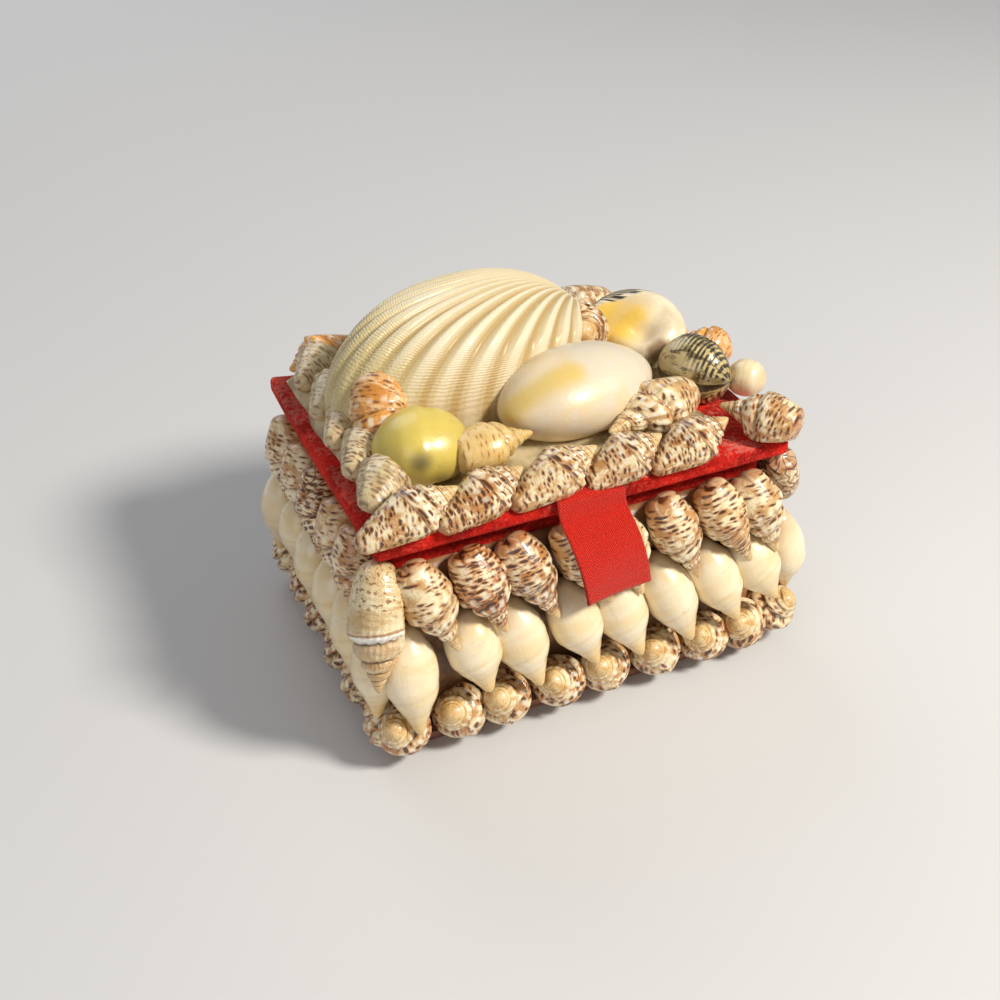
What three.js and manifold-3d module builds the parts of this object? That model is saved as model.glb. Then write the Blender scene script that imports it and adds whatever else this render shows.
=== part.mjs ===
// Shell box: a small card box covered in red velvet and dressed in sea shells. Three rows of shells are glued
// round its walls, and the lid carries a ribbed ark shell in a ring of smaller shells, with a ribbon to pull.
// Millimetres, +Z up. The origin is the middle of the base board's underside, X runs along the front to the
// right and Y runs towards the back.

import * as THREE from 'three';
import { mergeVertices } from 'three/addons/utils/BufferGeometryUtils.js';
import Module from 'manifold-3d';

const wasm = await Module();
wasm.setup();

// Boards and tray
const BOX_WIDTH = 100;
const BOX_DEPTH = 72.5;
const BASE_THICKNESS = 2.2;
const LID_THICKNESS = 4.1;
const BOARD_CORNER = 3;
const TRAY_HEIGHT = 50.8;
const TRAY_INSET = 4;
const TRAY_WALL = 3;
const TRAY_FLOOR = 2;
const LID_CURL = 2;
const LID_CURL_REACH = 32;

// Thin line of glue or air that parts any two pieces
const GLUE_LINE = 0.3;
// How near an edge a corner of the lid board's mesh lies
const EDGE_REACH = 1;

// Ribbon pull
const RIBBON_WIDTH = 16.3;
const RIBBON_THICKNESS = 0.9;
const RIBBON_CENTRE = -1.4;
const RIBBON_TAIL = 7;
const RIBBON_DROP = 20.8;
const RIBBON_SWING = 2.8;
const RIBBON_LEAN = 9.3;
const RIBBON_TWIST = 1.1;

// Wall shells
const DOVE_WIDTH = 11.5;
const DOVE_THICKNESS = 10;
const DOVE_PITCH = 11.9;
const PEAR_WIDTH = 11.7;
const PEAR_THICKNESS = 11;
const PEAR_PITCH = 12.3;
const ROUND_WIDTH = 11.3;
const ROUND_PITCH = 12.8;
const GLUE_BED_HEIGHT = 9.6;

const tray = {
  halfX: BOX_WIDTH / 2 - TRAY_INSET,
  halfY: BOX_DEPTH / 2 - TRAY_INSET,
  bottom: BASE_THICKNESS + GLUE_LINE,
  top: BASE_THICKNESS + GLUE_LINE + TRAY_HEIGHT,
};
const lidUnder = tray.top + GLUE_LINE;
const lidTop = lidUnder + LID_THICKNESS;

// Finishes
const CARD = { color: 0xa9776a, roughness: 0.9, metalness: 0 };
const VELVET = { color: 0xb3211f, roughness: 0.95, metalness: 0 };
const SATIN = { color: 0xcf1410, roughness: 0.4, metalness: 0 };
const SPECKLED = { color: 0xd8b98c, roughness: 0.35, metalness: 0 };
const WHITE_SHELL = { color: 0xf0e4cc, roughness: 0.25, metalness: 0 };
const ORANGE_SHELL = { color: 0xcf8a45, roughness: 0.35, metalness: 0 };
const YELLOW_SHELL = { color: 0xdccb7a, roughness: 0.2, metalness: 0 };
const DARK_SHELL = { color: 0x5e5a4c, roughness: 0.4, metalness: 0 };
const PINK_SHELL = { color: 0xcf9a86, roughness: 0.4, metalness: 0 };

const box = new THREE.Group();
box.name = 'shell_box';

// Grown copies of the pieces placed so far, which later pieces are cut clear of
const placed = [];

function toSolid(geometry) {
  const bare = geometry.clone();
  bare.deleteAttribute('normal');
  bare.deleteAttribute('uv');
  const welded = mergeVertices(bare, 1e-5);
  const corners = welded.index.array;
  const faces = [];
  for (let i = 0; i < corners.length; i += 3) {
    const [a, b, c] = corners.slice(i, i + 3);
    if (a !== b && b !== c && c !== a) faces.push(a, b, c);
  }
  const mesh = new wasm.Mesh({
    numProp: 3,
    vertProperties: new Float32Array(welded.attributes.position.array),
    triVerts: new Uint32Array(faces),
  });
  return new wasm.Manifold(mesh);
}

function toGeometry(solid, pivot) {
  const mesh = solid.getMesh();
  const geometry = new THREE.BufferGeometry();
  geometry.setAttribute('position', new THREE.BufferAttribute(mesh.vertProperties, 3));
  geometry.setIndex(new THREE.BufferAttribute(mesh.triVerts, 1));
  geometry.translate(-pivot.x, -pivot.y, -pivot.z);
  geometry.computeVertexNormals();
  return geometry;
}

function joined(solids) {
  return solids.reduce((whole, solid) => whole.add(solid));
}

function largestBody(solid) {
  const bodies = solid.decompose();
  return bodies.reduce((best, body) => (body.volume() > best.volume() ? body : best));
}

function boxesMeet(a, b) {
  return [0, 1, 2].every((axis) => a.min[axis] < b.max[axis] && b.min[axis] < a.max[axis]);
}

// Cuts a piece clear of all that is placed, and keeps its one main body
function cutClear(solid) {
  const reach = solid.boundingBox();
  let rest = solid;
  for (const other of placed) {
    if (boxesMeet(reach, other.boundingBox())) rest = rest.subtract(other);
  }
  return largestBody(rest);
}

function addPiece(name, solid, grown, finish, pivot) {
  const mesh = new THREE.Mesh(toGeometry(cutClear(solid), pivot), new THREE.MeshStandardMaterial(finish));
  mesh.name = name;
  mesh.position.copy(pivot);
  box.add(mesh);
  placed.push(grown);
}

// Boards

function roundedPlate(width, depth, corner, thickness) {
  const shape = new THREE.Shape();
  const x = width / 2 - corner;
  const y = depth / 2 - corner;
  shape.absarc(x, y, corner, 0, Math.PI / 2);
  shape.absarc(-x, y, corner, Math.PI / 2, Math.PI);
  shape.absarc(-x, -y, corner, Math.PI, 1.5 * Math.PI);
  shape.absarc(x, -y, corner, 1.5 * Math.PI, 2 * Math.PI);
  return new THREE.ExtrudeGeometry(shape, { depth: thickness, bevelEnabled: false, curveSegments: 4 });
}

function plateSolid(bottom, top, halfX, halfY, grow) {
  const size = [2 * (halfX + grow), 2 * (halfY + grow), BOARD_CORNER + grow, top - bottom + 2 * grow];
  const plate = roundedPlate(...size);
  plate.translate(0, 0, bottom - grow);
  return toSolid(plate);
}

// Lift of the lid board at a place, from its warped rear left corner
function lidLift(x, y) {
  const away = Math.hypot(x + BOX_WIDTH / 2, y - BOX_DEPTH / 2);
  const share = Math.max(0, 1 - away / LID_CURL_REACH);
  return LID_CURL * share * share;
}

function lidSolid(grow) {
  const columns = 8;
  const rows = 6;
  const board = new THREE.BoxGeometry(
    BOX_WIDTH + 2 * grow, BOX_DEPTH + 2 * grow, LID_THICKNESS + 2 * grow, columns, rows, 1);
  const spot = board.attributes.position;
  const cornerCut = BOARD_CORNER * (1 - Math.SQRT1_2);
  for (let i = 0; i < spot.count; i += 1) {
    let x = spot.getX(i);
    let y = spot.getY(i);
    const lift = lidLift(x, y);
    const atCorner = Math.abs(x) > BOX_WIDTH / 2 - EDGE_REACH && Math.abs(y) > BOX_DEPTH / 2 - EDGE_REACH;
    if (atCorner) {
      x -= Math.sign(x) * cornerCut;
      y -= Math.sign(y) * cornerCut;
    }
    spot.setXYZ(i, x, y, spot.getZ(i) + lift + lidUnder + LID_THICKNESS / 2);
  }
  return toSolid(board);
}

function addBoards() {
  const base = (grow) => plateSolid(0, BASE_THICKNESS, BOX_WIDTH / 2, BOX_DEPTH / 2, grow);
  addPiece('base_board', base(0), base(GLUE_LINE), CARD, new THREE.Vector3());

  const block = (grow) => plateSolid(tray.bottom, tray.top, tray.halfX, tray.halfY, grow);
  const hollow = new THREE.BoxGeometry(
    2 * (tray.halfX - TRAY_WALL), 2 * (tray.halfY - TRAY_WALL), TRAY_HEIGHT);
  hollow.translate(0, 0, tray.bottom + TRAY_FLOOR + TRAY_HEIGHT / 2);
  const trayFoot = new THREE.Vector3(0, 0, tray.bottom);
  addPiece('velvet_tray', block(0).subtract(toSolid(hollow)), block(GLUE_LINE), VELVET, trayFoot);

  addPiece('lid_board', lidSolid(0), lidSolid(GLUE_LINE), VELVET, new THREE.Vector3(0, 0, lidUnder));
}

// Ribbon pull: two layers of satin that leave the lid's top, turn over its front edge and hang down

function ribbonSolid(grow) {
  const edge = -BOX_DEPTH / 2;
  const half = RIBBON_THICKNESS / 2 + GLUE_LINE;
  const over = lidTop + half;
  const front = edge - half;
  const low = lidTop - RIBBON_DROP;
  const path = [
    [edge + RIBBON_TAIL, over, 0, -0.2, 1],
    [edge + half, over, 0, -0.2, 1],
    [front, lidTop - half, 0, -1, 0.3],
    [front - RIBBON_LEAN * 0.06, lidUnder, 0.15, -1, 0.4],
    [front - RIBBON_LEAN * 0.55, THREE.MathUtils.lerp(lidUnder, low, 0.24), 0.35, -1, 0.6],
    [front - RIBBON_LEAN * 0.87, THREE.MathUtils.lerp(lidUnder, low, 0.5), 0.58, -1, 0.3],
    [front - RIBBON_LEAN, THREE.MathUtils.lerp(lidUnder, low, 0.8), 0.85, -1, 0.05],
    [front - RIBBON_LEAN, low, 1, -1, 0],
  ];
  const spots = [];
  for (const [y, z, swing, outY, outZ] of path) {
    const out = new THREE.Vector2(outY, outZ).normalize().multiplyScalar(RIBBON_THICKNESS / 2 + grow);
    const x = RIBBON_CENTRE + swing * RIBBON_SWING;
    for (const [side, face] of [[-1, 1], [1, 1], [1, -1], [-1, -1]]) {
      const twist = side * swing * RIBBON_TWIST;
      spots.push(x + side * (RIBBON_WIDTH / 2 + grow), y + twist + face * out.x, z + face * out.y);
    }
  }
  const faces = [0, 1, 2, 0, 2, 3];
  for (let ring = 0; ring < path.length - 1; ring += 1) {
    for (let side = 0; side < 4; side += 1) {
      const a = ring * 4 + side;
      const b = ring * 4 + (side + 1) % 4;
      faces.push(a, b + 4, b, a, a + 4, b + 4);
    }
  }
  const last = (path.length - 1) * 4;
  faces.push(last, last + 2, last + 1, last, last + 3, last + 2);
  const ribbon = new THREE.BufferGeometry();
  ribbon.setAttribute('position', new THREE.Float32BufferAttribute(spots, 3));
  ribbon.setIndex(faces);
  return toSolid(ribbon);
}

// Shells

// Radius shares along a shell, from its mouth end at 0 to its apex at 1
const DOVE = { sides: 7, rings: [[0.06, 0.48], [0.3, 0.96], [0.56, 0.9], [0.82, 0.4]] };
const PEAR = { sides: 6, rings: [[0.05, 0.38], [0.28, 0.92], [0.54, 1], [0.78, 0.5]] };
const ROUND = { sides: 6, rings: [[0.14, 0.66], [0.44, 1], [0.78, 0.72]] };
const EGG = { sides: 11, rings: [[0.05, 0.46], [0.2, 0.84], [0.42, 1], [0.66, 0.92], [0.88, 0.56]] };

// Skin of rings between two poles: place(share, angle) gives a point, and the poles are at 0 and 1
function skin(shares, sides, place) {
  const spots = [...place(0, 0)];
  for (const share of shares) {
    for (let side = 0; side < sides; side += 1) spots.push(...place(share, (side / sides) * 2 * Math.PI));
  }
  spots.push(...place(1, 0));
  const faces = [];
  const end = shares.length * sides + 1;
  for (let side = 0; side < sides; side += 1) {
    const next = (side + 1) % sides;
    faces.push(0, 1 + next, 1 + side);
    faces.push(end, end - sides + side, end - sides + next);
    for (let ring = 0; ring < shares.length - 1; ring += 1) {
      const near = 1 + ring * sides;
      const far = near + sides;
      faces.push(near + side, near + next, far + next, near + side, far + next, far + side);
    }
  }
  const geometry = new THREE.BufferGeometry();
  geometry.setAttribute('position', new THREE.Float32BufferAttribute(spots, 3));
  geometry.setIndex(faces);
  return geometry;
}

// A shell lies along its own X with the mouth end at 0, and Z points away from what it is glued to
function shellGeometry(form, length, width, thickness, grow) {
  const radius = new Map([[0, 0], ...form.rings, [1, 0]]);
  const place = (share, angle) => [
    share * (length + 2 * grow) - grow,
    radius.get(share) * (width / 2 + grow) * Math.cos(angle),
    radius.get(share) * (thickness / 2 + grow) * Math.sin(angle),
  ];
  return skin(form.rings.map(([share]) => share), form.sides, place);
}

// Turns a shell from its own axes to run from mouth to apex, with its back facing out
function standBetween(geometry, mouth, apex, out) {
  const along = apex.clone().sub(mouth).normalize();
  const side = out.clone().cross(along).normalize();
  const up = along.clone().cross(side);
  const turn = new THREE.Matrix4().makeBasis(along, side, up);
  turn.setPosition(mouth);
  geometry.applyMatrix4(turn);
  return geometry;
}

// Wall rows

// Each wall: the way along it and out of it, its half length, how its rows start and end, and the share of
// their full reach that the apexes stand out of it
const WALLS = {
  front: {
    along: [1, 0, 0], out: [0, -1, 0], half: BOX_WIDTH / 2, off: tray.halfY, first: 7, last: 10.5, flare: 1,
  },
  left: {
    along: [0, -1, 0], out: [-1, 0, 0], half: BOX_DEPTH / 2, off: tray.halfX - 2, first: 7, last: 3.7, flare: 0.5,
  },
  right: {
    along: [0, 1, 0], out: [1, 0, 0], half: BOX_DEPTH / 2, off: tray.halfX, first: 3.5, last: 8, flare: 0.6,
  },
  back: {
    along: [-1, 0, 0], out: [0, 1, 0], half: BOX_WIDTH / 2, off: tray.halfY, first: 7, last: 10.5, flare: 0.7,
  },
};

// Hand laid unevenness from shell to shell, in millimetres
const UNEVEN = [0, 0.9, -0.7, 0.3, -0.5, 0.6, 0.8, -0.9];
const UNEVEN_TIPS = [-4.5, 1.8, -1, 0.4, -1.2, -1.4, 0.6, 3.6];

// Rows from the base up. Height and distance out of the wall are given at the mouth end and at the apex, and
// widest is the share of the shell's length at which it is widest.
const ROWS = {
  bottom: {
    form: ROUND, width: ROUND_WIDTH, thickness: ROUND_WIDTH, pitch: ROUND_PITCH, shift: -0.6, extra: 6, waver: 0,
    mouthUp: 4.5, mouthOut: 2.6, apexUp: 14.4, apexOut: 11.6, widest: 0.44, lean: () => -7.4, finish: SPECKLED,
  },
  middle: {
    form: PEAR, width: PEAR_WIDTH, thickness: PEAR_THICKNESS, pitch: PEAR_PITCH, shift: -2, extra: 0, waver: 1,
    mouthUp: 37, mouthOut: 4.4, apexUp: 16.4, apexOut: 13, widest: 0.42, lean: (i) => 8.8 * (1 - 0.55 ** i),
    finish: WHITE_SHELL,
  },
  top: {
    form: DOVE, width: DOVE_WIDTH, thickness: DOVE_THICKNESS, pitch: DOVE_PITCH, shift: -0.7, extra: 0, waver: 0.2,
    mouthUp: 52, mouthOut: 4.2, apexUp: 32.5, apexOut: 11.8, widest: 0.42,
    lean: (i) => 8 + 2 * UNEVEN[(i + 3) % UNEVEN.length], finish: SPECKLED,
  },
};

function onWall(wall, along, out, up) {
  const spot = new THREE.Vector3(...wall.along).multiplyScalar(along);
  spot.addScaledVector(new THREE.Vector3(...wall.out), wall.off + out);
  spot.z = up;
  return spot;
}

// Bed of glue behind a row, from the wall out to where its shells touch one another
function bedSolid(wall, row, start, end, grow) {
  const depth = THREE.MathUtils.lerp(row.mouthOut, row.apexOut, wall.flare * row.widest);
  const up = THREE.MathUtils.lerp(row.mouthUp, row.apexUp, row.widest);
  const height = Math.min(GLUE_BED_HEIGHT, Math.abs(row.mouthUp - row.apexUp) / 2);
  const bed = new THREE.BoxGeometry(end - start, depth + 2 * grow, height + 2 * grow);
  const turn = new THREE.Matrix4().makeBasis(
    new THREE.Vector3(...wall.along), new THREE.Vector3(...wall.out).negate(), new THREE.Vector3(0, 0, 1));
  turn.setPosition(onWall(wall, (start + end) / 2, depth / 2, up));
  return toSolid(bed.applyMatrix4(turn));
}

function rowSolid(wall, row, grow) {
  const run = 2 * wall.half - wall.first - wall.last + row.extra;
  const count = Math.round(run / row.pitch) + 1;
  const pitch = run / (count - 1);
  const start = wall.first - wall.half + row.shift;
  const solids = [bedSolid(wall, row, start, start + run, grow)];
  for (let i = 0; i < count; i += 1) {
    const along = start + i * pitch + UNEVEN[i % UNEVEN.length];
    const apexOut = THREE.MathUtils.lerp(row.mouthOut, row.apexOut, wall.flare);
    const apexUp = row.apexUp + row.waver * UNEVEN_TIPS[i % UNEVEN_TIPS.length];
    const mouth = onWall(wall, along, row.mouthOut, row.mouthUp);
    const apex = onWall(wall, along + row.lean(i), apexOut, apexUp);
    const shell = shellGeometry(row.form, mouth.distanceTo(apex), row.width, row.thickness, grow);
    solids.push(toSolid(standBetween(shell, mouth, apex, new THREE.Vector3(...wall.out))));
  }
  return joined(solids);
}

function addWallRows() {
  for (const [wallName, wall] of Object.entries(WALLS)) {
    for (const [rowName, row] of Object.entries(ROWS)) {
      const pivot = onWall(wall, 0, 0, row.mouthUp);
      const name = `${wallName}_${rowName}_shells`;
      addPiece(name, rowSolid(wall, row, 0), rowSolid(wall, row, GLUE_LINE), row.finish, pivot);
    }
  }
}

// Lid shells

function onLid(x, y, up) {
  return new THREE.Vector3(x, y, lidTop + lidLift(x, y) + up);
}

// Lays a shell on the lid: heading is the way its apex points, in degrees from +X, and rise lifts the apex
function addLidShell(name, form, place, size, heading, finish, rise = 0) {
  const [x, y, up] = place;
  const [length, width, thickness] = size;
  const angle = THREE.MathUtils.degToRad(heading);
  const half = new THREE.Vector3(Math.cos(angle) * length / 2, Math.sin(angle) * length / 2, rise / 2);
  half.setLength(length / 2);
  const middle = onLid(x, y, up);
  const mouth = middle.clone().sub(half);
  const apex = middle.clone().add(half);
  const solid = (grow) => {
    const shell = shellGeometry(form, length, width, thickness, grow);
    return toSolid(standBetween(shell, mouth, apex, new THREE.Vector3(0, 0, 1)));
  };
  addPiece(name, solid(0), solid(GLUE_LINE), finish, middle);
}

// Ark shell valve: ribs fan out from its beak over a dome, on a flat bed of glue
const ARK_LENGTH = 73;
const ARK_WIDTH = 42;
const ARK_HEIGHT = 24.2;
const ARK_BED = 3;
const ARK_HEADING = 14;
const ARK_RIBS = 22;
const ARK_RIB_HEIGHT = 0.5;
const ARK_BEAK = [0.93, -0.05];

function arkSolid(grow) {
  const halfLength = ARK_LENGTH / 2 + grow;
  const halfWidth = ARK_WIDTH / 2 + grow;
  const height = ARK_HEIGHT + grow;
  const dome = 2.3;
  const margin = 0.8;
  const bedEdge = 0.9;
  const place = (share, angle) => {
    if (share === 1) return [0, 0, -grow];
    const spread = Math.min(1, share / margin);
    const x = THREE.MathUtils.lerp(ARK_BEAK[0], Math.cos(angle), spread) * halfLength;
    const y = THREE.MathUtils.lerp(ARK_BEAK[1], -Math.sin(angle), spread) * halfWidth;
    if (share === bedEdge) return [x * bedEdge, y * bedEdge, -grow];
    const away = Math.min(1, Math.hypot(x / halfLength, y / halfWidth));
    const rise = height * (1 - away ** dome) ** (1 / dome);
    const rib = 2 * ARK_RIB_HEIGHT * Math.cos(ARK_RIBS * angle) * Math.sin(Math.PI * spread);
    return [x, y, ARK_BED + rise + rib];
  };
  const ark = skin([0.2, 0.42, 0.6, 0.73, margin, bedEdge], 2 * ARK_RIBS, place);
  ark.rotateZ(THREE.MathUtils.degToRad(ARK_HEADING));
  return ark;
}

function addArk() {
  const middle = onLid(-9.5, 13, GLUE_LINE);
  const solid = (grow) => toSolid(arkSolid(grow).translate(...middle));
  addPiece('ark_shell', solid(0), solid(GLUE_LINE), WHITE_SHELL, middle);
}

// The shells inside the ring. Their undersides rest on the ring, and later ones lean on earlier ones.
function addLidCentre() {
  addLidShell('leaning_dove_shell', DOVE, [-36.5, -3.5, 8.5], [19, 11.5, 10.5], 247, ORANGE_SHELL, -17);
  addLidShell('upright_dove_shell', DOVE, [25.3, 15.5, 7], [19, 11.5, 11], 248, SPECKLED, 8);
  addArk();
  addLidShell('moon_shell', EGG, [8.5, -10, 8.5], [41, 25, 19], 12, WHITE_SHELL);
  addLidShell('yellow_cowrie', EGG, [-31.5, -16, 7.5], [21.5, 19.5, 16], -13, YELLOW_SHELL);
  addLidShell('gaping_nerite', EGG, [35.5, 11, 8.8], [26, 20, 13], -57, YELLOW_SHELL);
  addLidShell('ribbed_nerite', EGG, [40, -9, 6.5], [20, 18, 14], -60, DARK_SHELL);
  addLidShell('cream_dove_shell', DOVE, [21.5, -21.5, 6.5], [27, 13, 11.5], 198, SPECKLED);
  addLidShell('small_cream_shell', DOVE, [-17.5, -22, 8], [20, 12, 10.5], 7, WHITE_SHELL);
}

// The ring of dove shells round the lid's edge
const RING_SIZE = [27.5, 13.2, 10.8];
const RING_UP = 4.6;
const RING_FINISHES = {
  right_rim_shell_2: WHITE_SHELL,
  right_rim_shell_3: ORANGE_SHELL,
  back_rim_shell_1: ORANGE_SHELL,
  back_rim_shell_5: PINK_SHELL,
};

function addLidRing() {
  const halfX = BOX_WIDTH / 2;
  const halfY = BOX_DEPTH / 2;
  const side = (edge, count, spot, heading) => {
    for (let i = 0; i < count; i += 1) {
      const [x, y, size] = spot(i);
      const name = `${edge}_rim_shell_${i + 1}`;
      const turned = heading(i) + 2 * UNEVEN[i];
      addLidShell(name, DOVE, [x, y, RING_UP], size, turned, RING_FINISHES[name] ?? SPECKLED);
    }
  };
  side('front', 5, (i) => [9.5 + 16.9 * i - halfX, 5.5 - halfY, RING_SIZE], () => 26);
  side('left', 5, (i) => [8 + 0.6 * i - halfX, 15.5 + 12.6 * i - halfY, [20, 12 - 0.4 * i, 10]], () => 50);
  side('right', 4, (i) => [halfX - 5.5, 5.5 + 16 * i - halfY, [19, 12.5, 11]], (i) => (i === 1 ? 127 : -53));
  side('back', 5, (i) => [14 + 17 * i - halfX, halfY - 2.5, [21, 12.5, 10.5]], () => 195);
}

addBoards();
const ribbonPivot = new THREE.Vector3(RIBBON_CENTRE, -BOX_DEPTH / 2, lidTop);
addPiece('ribbon_pull', ribbonSolid(0), ribbonSolid(GLUE_LINE), SATIN, ribbonPivot);
addWallRows();
addLidRing();
addLidCentre();

export default box;
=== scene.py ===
"""Looks of the shell box: velvet card boards, coiled sea shells, an ark shell and a satin ribbon pull.

Metres, +Z up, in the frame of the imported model. Sizes of shells and rows are in millimetres, as on the
bench, and `MM` turns them to metres.
"""

import math
import random

import bpy
import numpy as np
from mathutils import Matrix, Vector


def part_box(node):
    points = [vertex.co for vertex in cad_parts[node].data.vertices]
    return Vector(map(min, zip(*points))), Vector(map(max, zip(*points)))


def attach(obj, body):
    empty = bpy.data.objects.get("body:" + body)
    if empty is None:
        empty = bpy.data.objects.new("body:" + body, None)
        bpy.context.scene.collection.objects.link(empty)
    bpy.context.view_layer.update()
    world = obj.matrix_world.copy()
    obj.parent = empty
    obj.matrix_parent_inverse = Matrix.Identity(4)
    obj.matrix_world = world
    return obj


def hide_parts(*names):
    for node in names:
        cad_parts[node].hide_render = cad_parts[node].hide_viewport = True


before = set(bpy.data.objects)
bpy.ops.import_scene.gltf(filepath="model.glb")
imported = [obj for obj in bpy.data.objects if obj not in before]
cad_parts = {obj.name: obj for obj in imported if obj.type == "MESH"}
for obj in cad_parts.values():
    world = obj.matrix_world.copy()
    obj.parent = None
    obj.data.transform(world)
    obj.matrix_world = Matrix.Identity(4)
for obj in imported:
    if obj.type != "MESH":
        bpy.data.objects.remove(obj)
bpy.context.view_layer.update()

bl_info = {
    "name": "Shell box",
    "version": (1, 0, 0),
    "blender": (4, 5, 0),
    "location": "View3D > Sidebar > Shell box",
    "description": "Builds a red velvet box dressed in sea shells around its packed solids",
    "category": "Object",
}

MM = 0.001

# Sizes that the solids share, in millimetres
BOX_WIDTH = 100.0
BOX_DEPTH = 72.5
LID_THICKNESS = 4.1
LID_CURL = 2.0
LID_CURL_REACH = 32.0
TRAY_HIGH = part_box("velvet_tray")[1]
TRAY_HALF_X = TRAY_HIGH.x / MM
TRAY_HALF_Y = TRAY_HIGH.y / MM
LID_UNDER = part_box("lid_board")[0].z / MM
LID_TOP = LID_UNDER + LID_THICKNESS
UP = Vector((0, 0, 1))

# Ribbon pull: its middle, what is glued on the lid, how far its foot swings right, and how far it turns
RIBBON_CENTRE, RIBBON_TAIL, RIBBON_SWING, RIBBON_TWIST = -1.4, 7.0, 2.8, 1.1
RIBBON_FRONT = -BOX_DEPTH / 2 - 0.75
# Shares of the ribbon's lean, of its fall below the lid and of its swing, from the lid to its foot
RIBBON_BEND = ((0.06, 0, 0.15), (0.55, 0.24, 0.35), (0.87, 0.5, 0.58), (1, 0.8, 0.85), (1, 1, 1))


def tone(red, green, blue):
    """Shader colour from a given colour, 0 to 255."""
    return tuple(part / 255 / 12.92 if part <= 10.3 else ((part / 255 + 0.055) / 1.055) ** 2.4
                 for part in (red, green, blue))


# What a user may change

def length(name, description, millimetres):
    """Property for a length, given in millimetres and kept in metres."""
    return bpy.props.FloatProperty(name=name, description=description, default=millimetres * MM, min=0.0,
                                   precision=4, unit="LENGTH")


def colour(name, description, *picked):
    """Property for a colour, given as it was picked."""
    return bpy.props.FloatVectorProperty(name=name, description=description, default=tone(*picked), size=3,
                                         min=0.0, max=1.0, subtype="COLOR")


class ShellBoxSizes(bpy.types.PropertyGroup):
    """Sizes of the shell box's pieces."""
    ribbon_width: length("Ribbon width", "Width of the satin ribbon", 16.3)
    ribbon_drop: length("Ribbon drop", "How far the ribbon hangs below the lid's top",
                        LID_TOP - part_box("ribbon_pull")[0].z / MM)
    ribbon_lean: length("Ribbon lean", "How far the ribbon's foot leans out over the shells", 9.3)
    bottom_width: length("Bottom shell width", "Width of the round shells of the bottom row", 12.4)
    middle_width: length("Middle shell width", "Width of the ivory shells of the middle row", 12.1)
    top_width: length("Top shell width", "Width of the speckled shells of the top row", 11.8)
    rim_rise: length("Rim shell rise", "How much higher a front rim shell's apex lies than its mouth", 8.0)
    ark_length: length("Ark length", "Length of the ribbed ark shell", 73.0)
    ark_width: length("Ark width", "Width of the ribbed ark shell", 42.0)
    ark_height: length("Ark height", "Height of the ark shell over its bed of glue", 24.2)
    glue_depth: length("Glue depth", "Depth of the milky glue on the lid", 3.2)
    ark_ribs: bpy.props.IntProperty(name="Ark ribs", description="Ribs all round the ark shell's beak",
                                    default=26, min=8, max=60)


class ShellBoxColours(bpy.types.PropertyGroup):
    """Colours of the shell box's finishes."""
    velvet: colour("Velvet", "Lit pile of the velvet", 204, 30, 22)
    satin: colour("Satin", "Lit threads of the ribbon", 246, 30, 14)
    shell_ground: colour("Shell ground", "Ground of the speckled shells", 216, 184, 128)
    shell_marks: colour("Shell marks", "Dashes and dots of the speckled shells", 64, 34, 18)
    ivory: colour("Ivory", "Smooth shells of the middle row", 238, 224, 194)
    ark: colour("Ark", "Ribs of the ark shell", 214, 200, 164)
    moon: colour("Moon shell", "Large smooth shell on the lid", 221, 209, 188)
    cowrie: colour("Cowrie", "Yellow cowrie on the lid", 216, 194, 96)
    milky_glue: colour("Milky glue", "Dried glue on the lid", 226, 204, 156)
    # Amber glue: its brown is partly painted shade in the gaps between the wall shells
    amber_glue: colour("Amber glue", "Brown glue between the wall shells", 156, 112, 72)
    floor: colour("Floor", "Floor under the box", 210, 211, 213)


def sizes():
    return bpy.context.scene.shell_box_sizes


def shade(name, share=1.0):
    """A colour of the user's, darkened to a share of itself."""
    return tuple(share * part for part in getattr(bpy.context.scene.shell_box_colours, name))


def ribbon_hang():
    """Inner face of the hanging ribbon from the lid down: distance out, height, and share of the swing."""
    lean, foot = sizes().ribbon_lean / MM, LID_TOP - sizes().ribbon_drop / MM
    return [(RIBBON_FRONT - part * lean, LID_UNDER + fall * (foot - LID_UNDER), swing)
            for part, fall, swing in RIBBON_BEND]


# Shell forms

def smooth_curve(stops, at):
    """Smooth curve through (place, value) stops, read at an array of places."""
    xs = np.array([s[0] for s in stops], float)
    ys = np.array([s[1] for s in stops], float)
    slopes = np.gradient(ys, xs)
    turned = np.sign(np.diff(ys))
    for k in range(1, len(xs) - 1):
        if turned[k - 1] != turned[k]:
            slopes[k] = 0
    k = np.clip(np.searchsorted(xs, at) - 1, 0, len(xs) - 2)
    step = xs[k + 1] - xs[k]
    t = np.clip((at - xs[k]) / step, 0, 1)
    return ((2 * t**3 - 3 * t**2 + 1) * ys[k] + (t**3 - 2 * t**2 + t) * step * slopes[k]
            + (3 * t**2 - 2 * t**3) * ys[k + 1] + (t**3 - t**2) * step * slopes[k + 1])


def rounded_end(share, reach):
    """Round closing of a shell over its last reach."""
    left = 1 - np.clip(share / reach, 0, 1)
    return np.sqrt(np.clip(1 - left**2, 0, 1))


def eased(x, low, high):
    """0 below low, 1 above high, smooth in between."""
    t = np.clip((x - low) / (high - low), 0, 1)
    return t * t * (3 - 2 * t)


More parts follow.
